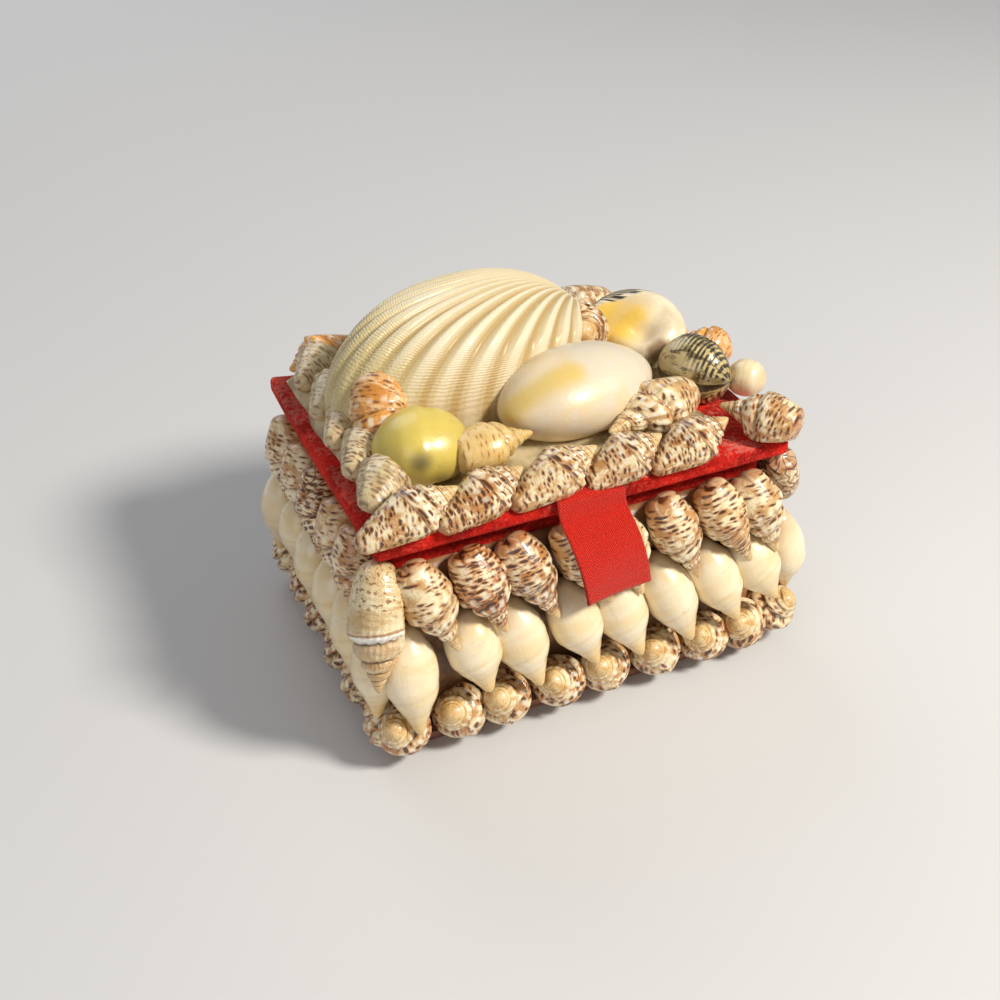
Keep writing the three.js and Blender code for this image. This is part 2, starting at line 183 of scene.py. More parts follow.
# Each form: radius shares from the mouth end at 0 to the apex at 1, how the two ends close, where the last
# suture meets the lip (share of length from the apex), growth of a whorl, depth of the suture, lip and slit
PLAIN = dict(ribs=0, rib=0.0, cords=0, cord=0.0, notch=0.0)
DOVE = dict(
    PLAIN, ends=(0.07, 0.035), suture=0.56, growth=1.66, groove=0.27, lip=0.11, slit=0.34, notch=0.55,
    profile=[(0, 0.6), (0.1, 0.74), (0.24, 0.91), (0.38, 1), (0.5, 0.97), (0.59, 0.82), (0.7, 0.54),
             (0.84, 0.3), (1, 0.08)])
PEAR = dict(
    PLAIN, ends=(0.06, 0.04), suture=0.5, growth=1.8, groove=0.05, lip=0.05, slit=0.3,
    profile=[(0, 0.34), (0.12, 0.6), (0.26, 0.88), (0.4, 0.99), (0.52, 1), (0.63, 0.9), (0.74, 0.64),
             (0.86, 0.37), (0.95, 0.2), (1, 0.08)])
ROUND = dict(
    PLAIN, ends=(0.24, 0.2), suture=0.56, growth=1.9, groove=0.3, lip=0.04, slit=0.2,
    profile=[(0, 0.5), (0.15, 0.76), (0.32, 0.97), (0.46, 1), (0.56, 0.97), (0.68, 0.8), (0.8, 0.62),
             (0.9, 0.5), (1, 0.4)])
MOON = dict(
    PLAIN, ends=(0.48, 0.5), suture=0.2, growth=1.9, groove=0.03, lip=0.02, slit=0.25,
    profile=[(0, 0.9), (0.2, 0.98), (0.42, 1), (0.66, 1), (0.85, 0.97), (1, 0.9)])
BEAD = dict(
    PLAIN, ends=(0.5, 0.5), suture=0.22, growth=1.9, groove=0.04, lip=0.0, slit=0.05,
    profile=[(0, 0.9), (0.3, 1.0), (0.6, 1.0), (1, 0.9)])
NERITE = dict(
    PLAIN, ends=(0.48, 0.5), suture=0.42, growth=2.2, groove=0.06, lip=0.03, slit=0.2, cords=17, cord=0.028,
    profile=[(0, 0.92), (0.2, 0.98), (0.42, 1), (0.66, 1), (0.85, 0.95), (1, 0.85)])
COWRIE = dict(
    PLAIN, ends=(0.44, 0.46), suture=0.01, growth=2.0, groove=0.0, lip=0.0, slit=0.3,
    profile=[(0, 0.9), (0.14, 0.95), (0.3, 1.03), (0.45, 1.03), (0.6, 0.96), (0.8, 0.97), (1, 0.9)])
LEAN = dict(
    PLAIN, ends=(0.2, 0.06), suture=0.55, growth=1.65, groove=0.16, lip=0.05, slit=0.3,
    profile=[(0, 0.76), (0.12, 0.88), (0.3, 0.98), (0.45, 1), (0.6, 0.93), (0.75, 0.7), (0.88, 0.42),
             (1, 0.15)])
# Knobbed dove shell, slender cone for the lid's rim, and the stout corded shell at the near left corner
NASSA = dict(DOVE, groove=0.26, ribs=14, rib=0.085, lip=0.1, growth=1.7)
RIM = dict(
    PLAIN, ends=(0.06, 0.03), suture=0.38, growth=1.5, groove=0.34, lip=0.1, slit=0.34, ribs=11, rib=0.1,
    profile=[(0, 0.34), (0.1, 0.5), (0.25, 0.7), (0.42, 0.9), (0.54, 1), (0.62, 1), (0.7, 0.82), (0.8, 0.56),
             (0.9, 0.3), (1, 0.06)])
STOUT = dict(
    PLAIN, ends=(0.08, 0.03), suture=0.46, growth=1.55, groove=0.27, lip=0.05, slit=0.3, ribs=26, rib=0.025,
    cords=20, cord=0.03,
    profile=[(0, 0.5), (0.08, 0.66), (0.2, 0.86), (0.36, 0.97), (0.5, 1), (0.6, 0.9), (0.7, 0.72), (0.8, 0.5),
             (0.9, 0.28), (1, 0.06)])

# The aperture lies under the shell, to the right when the apex points down
LIP_ANGLE = math.radians(-28)
SLIT_AT = 0.9
SLIT_HALF = 0.075

# Columns and rings of a shell's mesh
FRONT_FINENESS = (72, 50)
HIDDEN_FINENESS = (60, 42)
LID_FINENESS = (80, 56)
CORNER_FINENESS = (160, 96)


def whorl_phase(form, share, turn):
    """Whorls from the last suture: 0 to 1 and up is the body whorl, below 0 the spire."""
    from_apex = np.clip(1 - share, 1e-3, 1)
    return np.log(from_apex / form["suture"]) / math.log(form["growth"]) + turn


def across_whorl(phase):
    """Fullness across each whorl: 0 on its sutures, 1 where it bulges most."""
    t = phase - np.floor(phase)
    rise = 1 - (1 - np.clip(t / 0.3, 0, 1)) ** 2
    fall = 1 - (1 - np.clip((1 - t) / 0.42, 0, 1)) ** 2
    body = 1 - (1 - np.clip(phase / 0.32, 0, 1)) ** 2
    return np.where(phase > 0, body, rise * (0.35 + 0.65 * fall))


def coiled(form, size, share, angle, seed):
    """Points of a coiled shell that lies along +X from its mouth end at 0 to its apex, its back to +Z."""
    length, width, thickness = size
    turn = np.mod((angle - LIP_ANGLE) / (2 * math.pi), 1)
    phase = whorl_phase(form, share, turn)
    low, high = form["ends"]
    radius = smooth_curve(form["profile"], share) * rounded_end(share, low) * rounded_end(1 - share, high)
    full = across_whorl(phase)
    fade_tip = eased(1 - share, 0.0, 0.12)
    radius = radius * (1 - form["groove"] * (1 - full) * fade_tip)
    body = eased(phase, 0.0, 0.25) * eased(share, 0.03, 0.16)
    from_lip = np.minimum(turn, 1 - turn)
    radius = radius * (1 + form["lip"] * body * np.exp(-(from_lip / 0.035) ** 2))
    slit = np.exp(-((turn - SLIT_AT) / SLIT_HALF * 1.6) ** 2)
    along = eased(share, 0.0, 0.1) * (1 - eased(share, 0.95 - form["suture"], 1.08 - form["suture"]))
    radius = radius * (1 - form["slit"] * slit * along)
    if form["ribs"]:
        swell = 0.5 + 0.5 * np.cos(form["ribs"] * 2 * math.pi * turn + 1.4 * phase)
        where = full * (1 - 0.8 * eased(phase, 0.25, 0.9)) * eased(1 - share, 0.03, 0.2)
        radius = radius * (1 + form["rib"] * swell * where)
    if form["cords"]:
        cords = 0.5 + 0.5 * np.cos(2 * math.pi * form["cords"] * (share + 0.16 * turn))
        radius = radius * (1 + form["cord"] * cords * eased(share, 0.05, 0.2) * eased(1 - share, 0.04, 0.2))
    wobble = (0.018 * np.sin(2 * angle + 5 * share + seed)
              + 0.012 * np.sin(3 * angle - 7 * share + 2.3 * seed) + 0.01 * np.sin(11 * share + 1.7 * seed))
    radius = radius * (1 + wobble)
    bow = 0.02 * thickness * np.sin(math.pi * share)
    side = radius * width / 2 * np.cos(angle)
    notch = form["notch"] * np.exp(-((side / width + 0.08) / 0.06) ** 2 - (share / 0.06) ** 2)
    return np.stack([share * length + notch, side, radius * thickness / 2 * np.sin(angle) + bow], axis=1)


# Mesh making

def deselect():
    """Leaves edit mode and deselects all."""
    if bpy.context.object and bpy.context.object.mode != "OBJECT":
        bpy.ops.object.mode_set(mode="OBJECT")
    bpy.ops.object.select_all(action="DESELECT")


def active(name):
    """The object that the last operator made or joined, under its own name."""
    piece = bpy.context.object
    piece.name = name
    piece.data.name = name
    return piece


def corners(mesh):
    """Places of a mesh's corners, one row each."""
    spots = np.empty(len(mesh.vertices) * 3)
    mesh.vertices.foreach_get("co", spots)
    return spots.reshape(-1, 3)


def move_corners(mesh, spots):
    """Puts a mesh's corners where spots says, in metres."""
    mesh.vertices.foreach_set("co", np.ascontiguousarray(spots, dtype=np.float32).ravel())
    mesh.update()


BLANKS = {}


def blank_ball(columns, rings):
    """Ball with its share along the axis and its angle at every corner, made once for each fineness."""
    key = (columns, rings)
    if key not in BLANKS:
        deselect()
        bpy.ops.mesh.primitive_uv_sphere_add(segments=columns, ring_count=rings, radius=1)
        ball = active(f"ball_{columns}_{rings}")
        mesh = ball.data
        spots = corners(mesh)
        share = (1 - np.clip(spots[:, 2], -1, 1)) / 2
        angle = np.arctan2(spots[:, 1], spots[:, 0])
        pole = np.hypot(spots[:, 0], spots[:, 1]) < 1e-5
        angle[pole] = 0
        angle = -angle
        BLANKS[key] = (mesh.copy(), share, angle, pole)
        bpy.data.objects.remove(ball)
    return BLANKS[key]


def lay_uv(mesh, turn, phase, pole):
    """UV map along the coil: turns round the axis, and whorls along it."""
    loops = np.empty(len(mesh.loops), dtype=np.int32)
    mesh.loops.foreach_get("vertex_index", loops)
    starts = np.empty(len(mesh.polygons), dtype=np.int32)
    totals = np.empty(len(mesh.polygons), dtype=np.int32)
    mesh.polygons.foreach_get("loop_start", starts)
    mesh.polygons.foreach_get("loop_total", totals)
    face_of = np.repeat(np.arange(len(starts)), totals)
    u = turn[loops].copy()
    at_pole = pole[loops]
    high = np.full(len(starts), -1.0)
    np.maximum.at(high, face_of[~at_pole], u[~at_pole])
    wrapped = (high[face_of] - u > 0.5) & ~at_pole
    u[wrapped] += 1
    total = np.zeros(len(starts))
    count = np.zeros(len(starts))
    np.add.at(total, face_of[~at_pole], u[~at_pole])
    np.add.at(count, face_of[~at_pole], 1)
    u[at_pole] = (total / np.maximum(count, 1))[face_of][at_pole]
    layer = mesh.uv_layers[0] if mesh.uv_layers else mesh.uv_layers.new(name="UVMap")
    layer.uv.foreach_set("vector", np.stack([u, phase[loops]], axis=1).astype(np.float32).ravel())


def paint(mesh, name, values):
    """Four numbers at each corner, kept as a colour attribute that the finishes read."""
    layer = mesh.attributes.new(name=name, type="FLOAT_COLOR", domain="POINT")
    layer.data.foreach_set("color", np.ascontiguousarray(values, dtype=np.float32).ravel())


def finish_mesh(mesh):
    """Smooth shading, once the corners are in place."""
    mesh.polygons.foreach_set("use_smooth", np.ones(len(mesh.polygons), dtype=bool))
    mesh.validate()
    mesh.update()


def thicken(piece, millimetres, offset):
    """Gives an open sheet its thickness: 0 on both sides, -1 behind."""
    thick = piece.modifiers.new("thickness", "SOLIDIFY")
    thick.thickness = millimetres * MM
    thick.offset = offset
    deselect()
    piece.select_set(True)
    bpy.context.view_layer.objects.active = piece
    bpy.ops.object.modifier_apply(modifier="thickness")


def place_between(mouth, apex, out, roll=0.0):
    """Turns a shell from its own axes to run from mouth to apex, with its back facing out."""
    along = (apex - mouth).normalized()
    side = out.cross(along).normalized()
    up = along.cross(side)
    turn = Matrix((along, side, up)).transposed().to_4x4()
    return Matrix.Translation(mouth) @ turn @ Matrix.Rotation(roll, 4, "X")


def behind_ribbon(spots):
    """Presses what would come through the ribbon pull back against its inner face."""
    x, y, z = spots.T
    outs, heights, swings = zip(*reversed(ribbon_hang()))
    inner = np.interp(z, heights, outs)
    swing = np.interp(z, heights, swings)
    across = (x - RIBBON_CENTRE - swing * RIBBON_SWING) / (sizes().ribbon_width / MM / 2)
    limit = inner + across * swing * RIBBON_TWIST + 0.35
    reached = (np.abs(across) < 1.08) & (z > heights[0]) & (z < heights[-1]) & (y < limit)
    spots = spots.copy()
    spots[:, 1] = np.where(reached, limit, y)
    return spots


def shell_object(name, form, size, place, looks, fineness, bend=None):
    """One coiled shell. looks is (seed, marks, tint): the same finish reads them on every shell."""
    blank, share, angle, pole = blank_ball(*fineness)
    mesh = blank.copy()
    mesh.name = name
    seed, marks, tint = looks
    spots = coiled(form, size, share, angle, seed * 6.3)
    if bend:
        spots = bend(spots)
    spots = spots @ np.array(place.to_3x3()).T + np.array(place.translation)
    spots = behind_ribbon(spots)
    move_corners(mesh, spots * MM)
    turn = np.mod((angle - LIP_ANGLE) / (2 * math.pi), 1)
    lay_uv(mesh, turn, whorl_phase(form, share, 0), pole)
    paint(mesh, "shell", np.stack([share, np.full_like(share, seed), np.full_like(share, marks),
                                   np.full_like(share, tint)], axis=1))
    finish_mesh(mesh)
    shell = bpy.data.objects.new(name, mesh)
    bpy.context.scene.collection.objects.link(shell)
    return shell


def join_pieces(name, pieces):
    """Joins the shells of one row."""
    deselect()
    for piece in pieces:
        piece.select_set(True)
    bpy.context.view_layer.objects.active = pieces[0]
    if len(pieces) > 1:
        bpy.ops.object.join()
    return active(name)


def settle(piece, finish, slot, *nodes):
    """Gives a finished piece its finish, its body and the solids that it stands for."""
    piece.data.materials.clear()
    piece.data.materials.append(finish)
    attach(piece, "root")
    if nodes:
        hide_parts(*nodes)
    return piece


# Wall rows

# How far each shell of a row stands off its even place, in millimetres, and how far its apex does
UNEVEN = [0, 0.9, -0.7, 0.3, -0.5, 0.6, 0.8, -0.9]
UNEVEN_TIPS = [-4.5, 1.8, -1, 0.4, -1.2, -1.4, 0.6, 3.6]

# Each wall: its direction, its outward side, half its length, how far out it stands, the margins before its
# first shell and after its last, and how far the apexes stand out
WALLS = {
    "front": dict(along=Vector((1, 0, 0)), out=Vector((0, -1, 0)), half=BOX_WIDTH / 2, off=TRAY_HALF_Y,
                  first=7, last=10.5, flare=1.0),
    "left": dict(along=Vector((0, -1, 0)), out=Vector((-1, 0, 0)), half=BOX_DEPTH / 2, off=TRAY_HALF_X - 2,
                 first=7, last=3.7, flare=0.5),
    "right": dict(along=Vector((0, 1, 0)), out=Vector((1, 0, 0)), half=BOX_DEPTH / 2, off=TRAY_HALF_X,
                  first=3.5, last=8, flare=0.6),
    "back": dict(along=Vector((-1, 0, 0)), out=Vector((0, 1, 0)), half=BOX_WIDTH / 2, off=TRAY_HALF_Y,
                 first=7, last=10.5, flare=0.7),
}

# Rows from the base up, as the solids have them: height and distance out of the wall at mouth end and apex
ROWS = {
    "bottom": dict(form=ROUND, width="bottom_width", flat=1.0, pitch=12.8, shift=-0.6, extra=6, waver=0,
                   mouth=(4.5, 2.6), apex=(14.4, 11.6), lean=lambda i: -7.4, slot="speckled_shell"),
    "middle": dict(form=PEAR, width="middle_width", flat=0.93, pitch=12.3, shift=-2, extra=0, waver=1,
                   mouth=(37, 4.4), apex=(16.4, 13), lean=lambda i: 8.8 * (1 - 0.55**i), slot="white_shell"),
    "top": dict(form=DOVE, width="top_width", flat=0.87, pitch=11.9, shift=-0.7, extra=0, waver=0.2,
                mouth=(52, 4.2), apex=(32.5, 11.8), lean=lambda i: 8 + 2 * UNEVEN[(i + 3) % 8],
                slot="speckled_shell"),
}

# Markings from plain at 0 to heavy at 1, and tint from brownish grey at -1 over cream to orange at 1
TOP_LOOKS = [(0.42, 0.15), (1.0, 0.75), (0.85, -0.75), (0.6, 0.1), (0.15, -0.1), (0.6, -0.5), (0.62, 0.0),
             (0.45, -0.2), (0.4, 0.3)]
BOTTOM_LOOKS = [(0.95, 0.1), (0.7, 0.25), (0.75, 0.05), (0.95, 0.1), (0.6, 0.3), (0.8, 0.2), (0.85, -0.1),
                (0.7, 0.35)]


def on_wall(wall, along, out, up):
    """A place in front of a wall."""
    spot = wall["along"] * along + wall["out"] * (wall["off"] + out)
    spot.z = up
    return spot


def row_places(wall, row):
    """Mouth and apex of every shell of a row, spaced as in the solids."""
    run = 2 * wall["half"] - wall["first"] - wall["last"] + row["extra"]
    count = round(run / row["pitch"]) + 1
    pitch = run / (count - 1)
    apex_out = row["mouth"][1] + (row["apex"][1] - row["mouth"][1]) * wall["flare"]
    places = []
    for i in range(count):
        along = wall["first"] - wall["half"] + row["shift"] + i * pitch + UNEVEN[i % 8]
        mouth = on_wall(wall, along, row["mouth"][1], row["mouth"][0])
        apex_up = row["apex"][0] + row["waver"] * UNEVEN_TIPS[i % 8]
        apex = on_wall(wall, along + row["lean"](i), apex_out, apex_up)
        places.append((mouth, apex))
    return places


def row_looks(wall_name, row_name, i, dice):
    """Seed, marks and tint of one shell: chosen on the front wall, by the dice on the others."""
    if row_name == "middle":
        return dice.random(), 0.06 * dice.random(), dice.uniform(-0.3, 0.3)
    known = TOP_LOOKS if row_name == "top" else BOTTOM_LOOKS
    if wall_name == "front":
        marks, tint = known[i % len(known)]
        return dice.random(), marks, tint
    return dice.random(), dice.uniform(0.35, 1.0), dice.uniform(-0.7, 0.8)


CORNER_SIZE = (29, 14.4, 12)


def lay_corner_shell(mouth, apex, out, roll, seed, slot):
    """The stout shell that ends the left wall's top row, longer than the others and with its own finish."""
    apex = mouth + (apex - mouth).normalized() * CORNER_SIZE[0]
    place = place_between(mouth, apex, out, roll)
    corner = shell_object("corner_shell_look", STOUT, CORNER_SIZE, place, (seed, 0, 0), CORNER_FINENESS)
    settle(corner, finish_of("corner_shell"), slot)


def dress_row(wall_name, row_name):
    """One row of shells on one wall."""
    wall, row = WALLS[wall_name], ROWS[row_name]
    fineness = HIDDEN_FINENESS if wall_name in ("back", "right") else FRONT_FINENESS
    width = getattr(sizes(), row["width"]) / MM
    dice = random.Random(f"{wall_name} {row_name}")
    places = row_places(wall, row)
    shells = []
    for i, (mouth, apex) in enumerate(places):
        seed, marks, tint = row_looks(wall_name, row_name, i, dice)
        roll = math.radians(dice.uniform(-14, 14))
        if row_name == "bottom":
            roll = math.radians(dice.uniform(40, 120))
        if wall_name == "left" and row_name == "top" and i == len(places) - 1:
            lay_corner_shell(mouth, apex, wall["out"], roll, seed, row["slot"])
            continue
        knobbed = row_name == "top" and i % 3 == 1 + (wall_name != "front")
        size = ((apex - mouth).length, width, width * row["flat"])
        place = place_between(mouth, apex, wall["out"], roll)
        shells.append(shell_object(f"shell_{i}", NASSA if knobbed else row["form"], size, place,
                                   (seed, marks, tint), fineness))
    name = f"{wall_name}_{row_name}_shells"
    finish = finish_of("round_shell" if row_name == "bottom" else row["slot"])
    settle(join_pieces(name + "_look", shells), finish, row["slot"], name)


# Lid shells

def lid_lift(x, y):
    """How far the lid's far left corner curls up, at one place or at many."""
    away = np.hypot(x + BOX_WIDTH / 2, y - BOX_DEPTH / 2)
    return LID_CURL * np.maximum(0.0, 1 - away / LID_CURL_REACH) ** 2


def on_lid(x, y, up):
    """A place over the lid's top."""
    return Vector((x, y, LID_TOP + lid_lift(x, y) + up))


# Each shell inside the ring: form, middle above the lid, length, width and thickness, heading of its apex in
# degrees, rise of the apex, roll, then seed, marks and tint, and the solid's own finish
CENTRE_SHELLS = {
    "leaning_dove_shell": (LEAN, (-36.4, -3.6, 9.4), (22.5, 13.4, 11.5), 247, -19, 20, (0.3, 0.5, 0.95),
                           "orange_shell"),
    "upright_dove_shell": (ROUND, (20.4, 10.2, 11.2), (13, 13.4, 12.8), 248, 6, 0, (0.3, 0.8, 0.3),
                           "speckled_shell"),
    "moon_shell": (MOON, (8.5, -10, 8.5), (41, 25, 19), 12, 0, 0, (0.5, 0.0, 0.0), "white_shell"),
    "yellow_cowrie": (COWRIE, (-31.5, -16, 7.5), (21.5, 19.5, 16), -13, 0, 0, (0.2, 0.0, 0.0),
                      "yellow_shell"),
    "gaping_nerite": (MOON, (35.5, 11, 8.8), (26, 20, 13), -57, 0, 25, (0.6, 0.0, 0.0), "yellow_shell"),
    "ribbed_nerite": (NERITE, (40.3, -9.3, 6.2), (18.6, 17, 13.5), -60, 0, 90, (0.4, 0.0, 0.0), "dark_shell"),
    "cream_dove_shell": (NASSA, (21.5, -21.5, 6.5), (27, 13, 11.5), 198, 0, 0, (0.8, 0.35, 0.1),
                         "speckled_shell"),
    "small_cream_shell": (DOVE, (-17.5, -22, 8), (20, 12, 10.5), 7, 0, 0, (0.1, 0.05, 0.2), "white_shell"),
}

# Those that have a finish of their own here
CENTRE_FINISHES = {"moon_shell": "moon_shell", "gaping_nerite": "gaping_shell",
                   "small_cream_shell": "honey_shell", "upright_dove_shell": "upright_shell"}

# The gaping shell's middle, its yellow callus and its hollow, in metres, and which way its open side faces
GAPING_MIDDLE = (0.0355, 0.011, (LID_TOP + 8.8) * MM)
GAPING_CALLUS = (0.0295, 0.0112, 0.0712)
GAPING_HOLLOW = (0.0358, -0.0008, 0.0655)
GAPING_FACE = (-0.4054, -0.8721, 0.2737)


def gape(spots):
    """Flattens the side that faces out into a callus with a shallow hollow. Spots are the shell's own."""
    x, y, z = spots.T
    open_side = eased(z, 2.2, 6.5)
    callus = 3.6 + 0.35 * (z - 3.6) + 0.5 * np.sin(x * 0.5 + 1.0)
    hollow = 2.6 * np.exp(-((x - 17.0) / 4.0) ** 2 - ((y + 4.0) / 3.0) ** 2)
    z = np.where(z > 2.2, z * (1 - open_side) + (callus - hollow) * open_side, z)
    return np.stack([x, y, z], axis=1)


# How high the ring's shells lie, and the front ones: middle, length and heading of the apex
RING_UP = 4.6
FRONT_RIM = ((-42.2, -34.6, 24.4, 4), (-25.9, -34.5, 22.6, 9), (-8.6, -33.6, 23.4, 11), (7.8, -33.9, 20.5, 3),
             (24.0, -34.4, 21.5, 6))


def ring_shells():
    """Name, form, middle, size, heading, looks and slot of every shell of the ring."""
    half_x, half_y = BOX_WIDTH / 2, BOX_DEPTH / 2
    shells = []
    sides = {
        "front": (5, lambda i: (*FRONT_RIM[i][:2], (FRONT_RIM[i][2], 11.4, 10.2)), lambda i: FRONT_RIM[i][3]),
        "left": (5, lambda i: (8 + 0.6 * i - half_x, 15.5 + 12.6 * i - half_y, (20, 12 - 0.4 * i, 10)),
                 lambda i: 50),
        "right": (4, lambda i: (half_x - 5.5, 5.5 + 16 * i - half_y, (19, 12.5, 11)),
                  lambda i: -53 if i == 3 else 127),
        "back": (5, lambda i: (14 + 17 * i - half_x, half_y - 2.5, (21, 12.5, 10.5)), lambda i: 195),
    }
    forms = {"right_rim_shell_2": (BEAD, (51.0, -15.2), (9.6, 9.4, 9.2)),
             "right_rim_shell_3": (ROUND, (50.6, 1.6), (13, 11.5, 10.5)),
             "right_rim_shell_1": (DOVE, (half_x - 5.2, 5.6 - half_y), (19.5, 13, 11))}
    special = {"right_rim_shell_2": "white_shell", "right_rim_shell_3": "orange_shell",
               "back_rim_shell_1": "orange_shell", "back_rim_shell_5": "pink_shell"}
    for edge, (count, spot, heading) in sides.items():
        dice = random.Random(edge)
        for i in range(count):
            x, y, size = spot(i)
            name = f"{edge}_rim_shell_{i + 1}"
            slot = special.get(name, "speckled_shell")
            marks, tint = dice.uniform(0.4, 0.9), dice.uniform(-0.6, 0.5)
            if slot != "speckled_shell":
                marks, tint = 0.1, {"orange_shell": 1.0, "pink_shell": -1.0}.get(slot, 0.1)
            looks = (dice.random(), marks, tint)
            form, (x, y), size = forms.get(name, (RIM, (x, y), size))
            shells.append((name, form, (x, y, RING_UP), size, heading(i) + 2 * UNEVEN[i], looks, slot))
    return shells


def lay_on_lid(name, form, spot, size, heading, rise, roll, looks, finish, slot, bend=None):
    """One shell on the lid, round its middle, as a piece of its own."""
    angle = math.radians(heading)
    half = Vector((math.cos(angle) * size[0] / 2, math.sin(angle) * size[0] / 2, rise / 2))
    half = half.normalized() * (size[0] / 2)
    middle = on_lid(*spot)
    place = place_between(middle - half, middle + half, UP, math.radians(roll))
    shell = shell_object(name + "_look", form, size, place, looks, LID_FINENESS, bend)
    return settle(shell, finish, slot, name)


# Ark shell

# Depth of its bed of glue, heading, beak as shares of half its length and width, and middle on the lid
ARK_BED = 3.0
ARK_HEADING = 14.0
ARK_BEAK = (0.93, -0.05)
ARK_SPOT = (-9.5, 13.0, 0.3)
# Share of the mesh at which the valve ends and its underside begins
ARK_MARGIN = 0.82


def ark_points(share, angle):
    """Valve of an ark shell on its bed of glue, from the beak at 0 over the margin to 1 underneath."""
    length, width, height = (getattr(sizes(), f"ark_{part}") / MM for part in ("length", "width", "height"))
    spread = np.clip(share / ARK_MARGIN, 0, 1)
    x = ARK_BEAK[0] * (1 - spread) + np.cos(angle) * spread
    y = ARK_BEAK[1] * (1 - spread) - np.sin(angle) * spread
    away = np.clip(np.hypot(x, y), 0, 1)
    rise = height * (1 - away**2.3) ** (1 / 2.3)
    wave = np.cos(sizes().ark_ribs * angle)
    rib = 1 - (1 - np.clip(0.5 + 0.75 * wave, 0, 1)) ** 2
    front = eased(np.sin(angle), -0.2, 0.6)
    strength = eased(spread, 0.02, 0.5) * (1 - (0.55 + 0.4 * front) * eased(spread, 0.74, 0.97))
    beads = 0.5 + 0.5 * np.cos(2 * math.pi * 46 * spread)
    lift = (1.1 * rib + 0.08 * (1 - 0.8 * front) * beads * rib) * strength
    growth = 0.25 * np.sin(9 * spread + 0.6) * spread
    flat = np.stack([x * length / 2, y * width / 2, ARK_BED + rise], axis=1)
    slope = np.stack([x / (length / 2), y / (width / 2), rise / height**2], axis=1)
    slope /= np.maximum(np.linalg.norm(slope, axis=1, keepdims=True), 1e-9)
    spots = flat + slope * (lift + growth - 0.5)[:, None]
    under = eased(share, ARK_MARGIN, 0.9)[:, None]
    inward = np.stack([x * length / 2 * 0.93, y * width / 2 * 0.93, np.zeros_like(x)], axis=1)
    spots = spots * (1 - under) + inward * under
    close = eased(share, 0.9, 1.0)[:, None]
    return spots * (1 - close)


def build_ark(finish):
    """Ribbed valve of an ark shell on its bed of glue."""
    blank, share, angle, pole = blank_ball(sizes().ark_ribs * 10, 90)
    mesh = blank.copy()
    axis_angle = np.arccos(np.clip(1 - 2 * share, -1, 1)) / math.pi
    spots = ark_points(axis_angle, angle)
    turn = Matrix.Rotation(math.radians(ARK_HEADING), 3, "Z")
    spots = spots @ np.array(turn).T + np.array(on_lid(*ARK_SPOT))
    move_corners(mesh, spots * MM)
    lay_uv(mesh, np.mod(angle / (2 * math.pi), 1), axis_angle, pole)
    finish_mesh(mesh)
    ark = bpy.data.objects.new("ark_shell_look", mesh)
    bpy.context.scene.collection.objects.link(ark)
    return settle(ark, finish, "white_shell", "ark_shell")


# Finishes

class Socket:
    """Output of a shader node that takes part in sums, so that a finish reads as a formula."""

    def __init__(self, finish, link):
        self.finish = finish
        self.link = link

    def sum(self, operation, *values):
        return self.finish.node("ShaderNodeMath", {"operation": operation}, dict(enumerate(values)))

    def __add__(self, other):
        return self.sum("ADD", self, other)

    def __radd__(self, other):
        return self.sum("ADD", other, self)

    def __sub__(self, other):
        return self.sum("SUBTRACT", self, other)

    def __rsub__(self, other):
        return self.sum("SUBTRACT", other, self)

    def __mul__(self, other):
        return self.sum("MULTIPLY", self, other)

    def __rmul__(self, other):
        return self.sum("MULTIPLY", other, self)

    def __truediv__(self, other):
        return self.sum("DIVIDE", self, other)

    def __pow__(self, other):
        return self.sum("POWER", self, other)

    def __rpow__(self, other):
        return self.sum("POWER", other, self)

    def wave(self):
        return self.sum("SINE", self * (2 * math.pi))

    def part(self):
        return self.sum("FRACT", self)

    def whole(self):
        return self.sum("FLOOR", self)

    def size(self):
        return self.sum("ABSOLUTE", self)

    def least(self, other):
        return self.sum("MINIMUM", self, other)

    def most(self, other):
        return self.sum("MAXIMUM", self, other)

    def between(self, low, high):
        """0 below low, 1 above high, smooth in between; low may be the larger."""
        return self.finish.node("ShaderNodeMapRange", {"interpolation_type": "SMOOTHSTEP", "clamp": True},
                                {0: self, 1: low, 2: high, 3: 0.0, 4: 1.0})


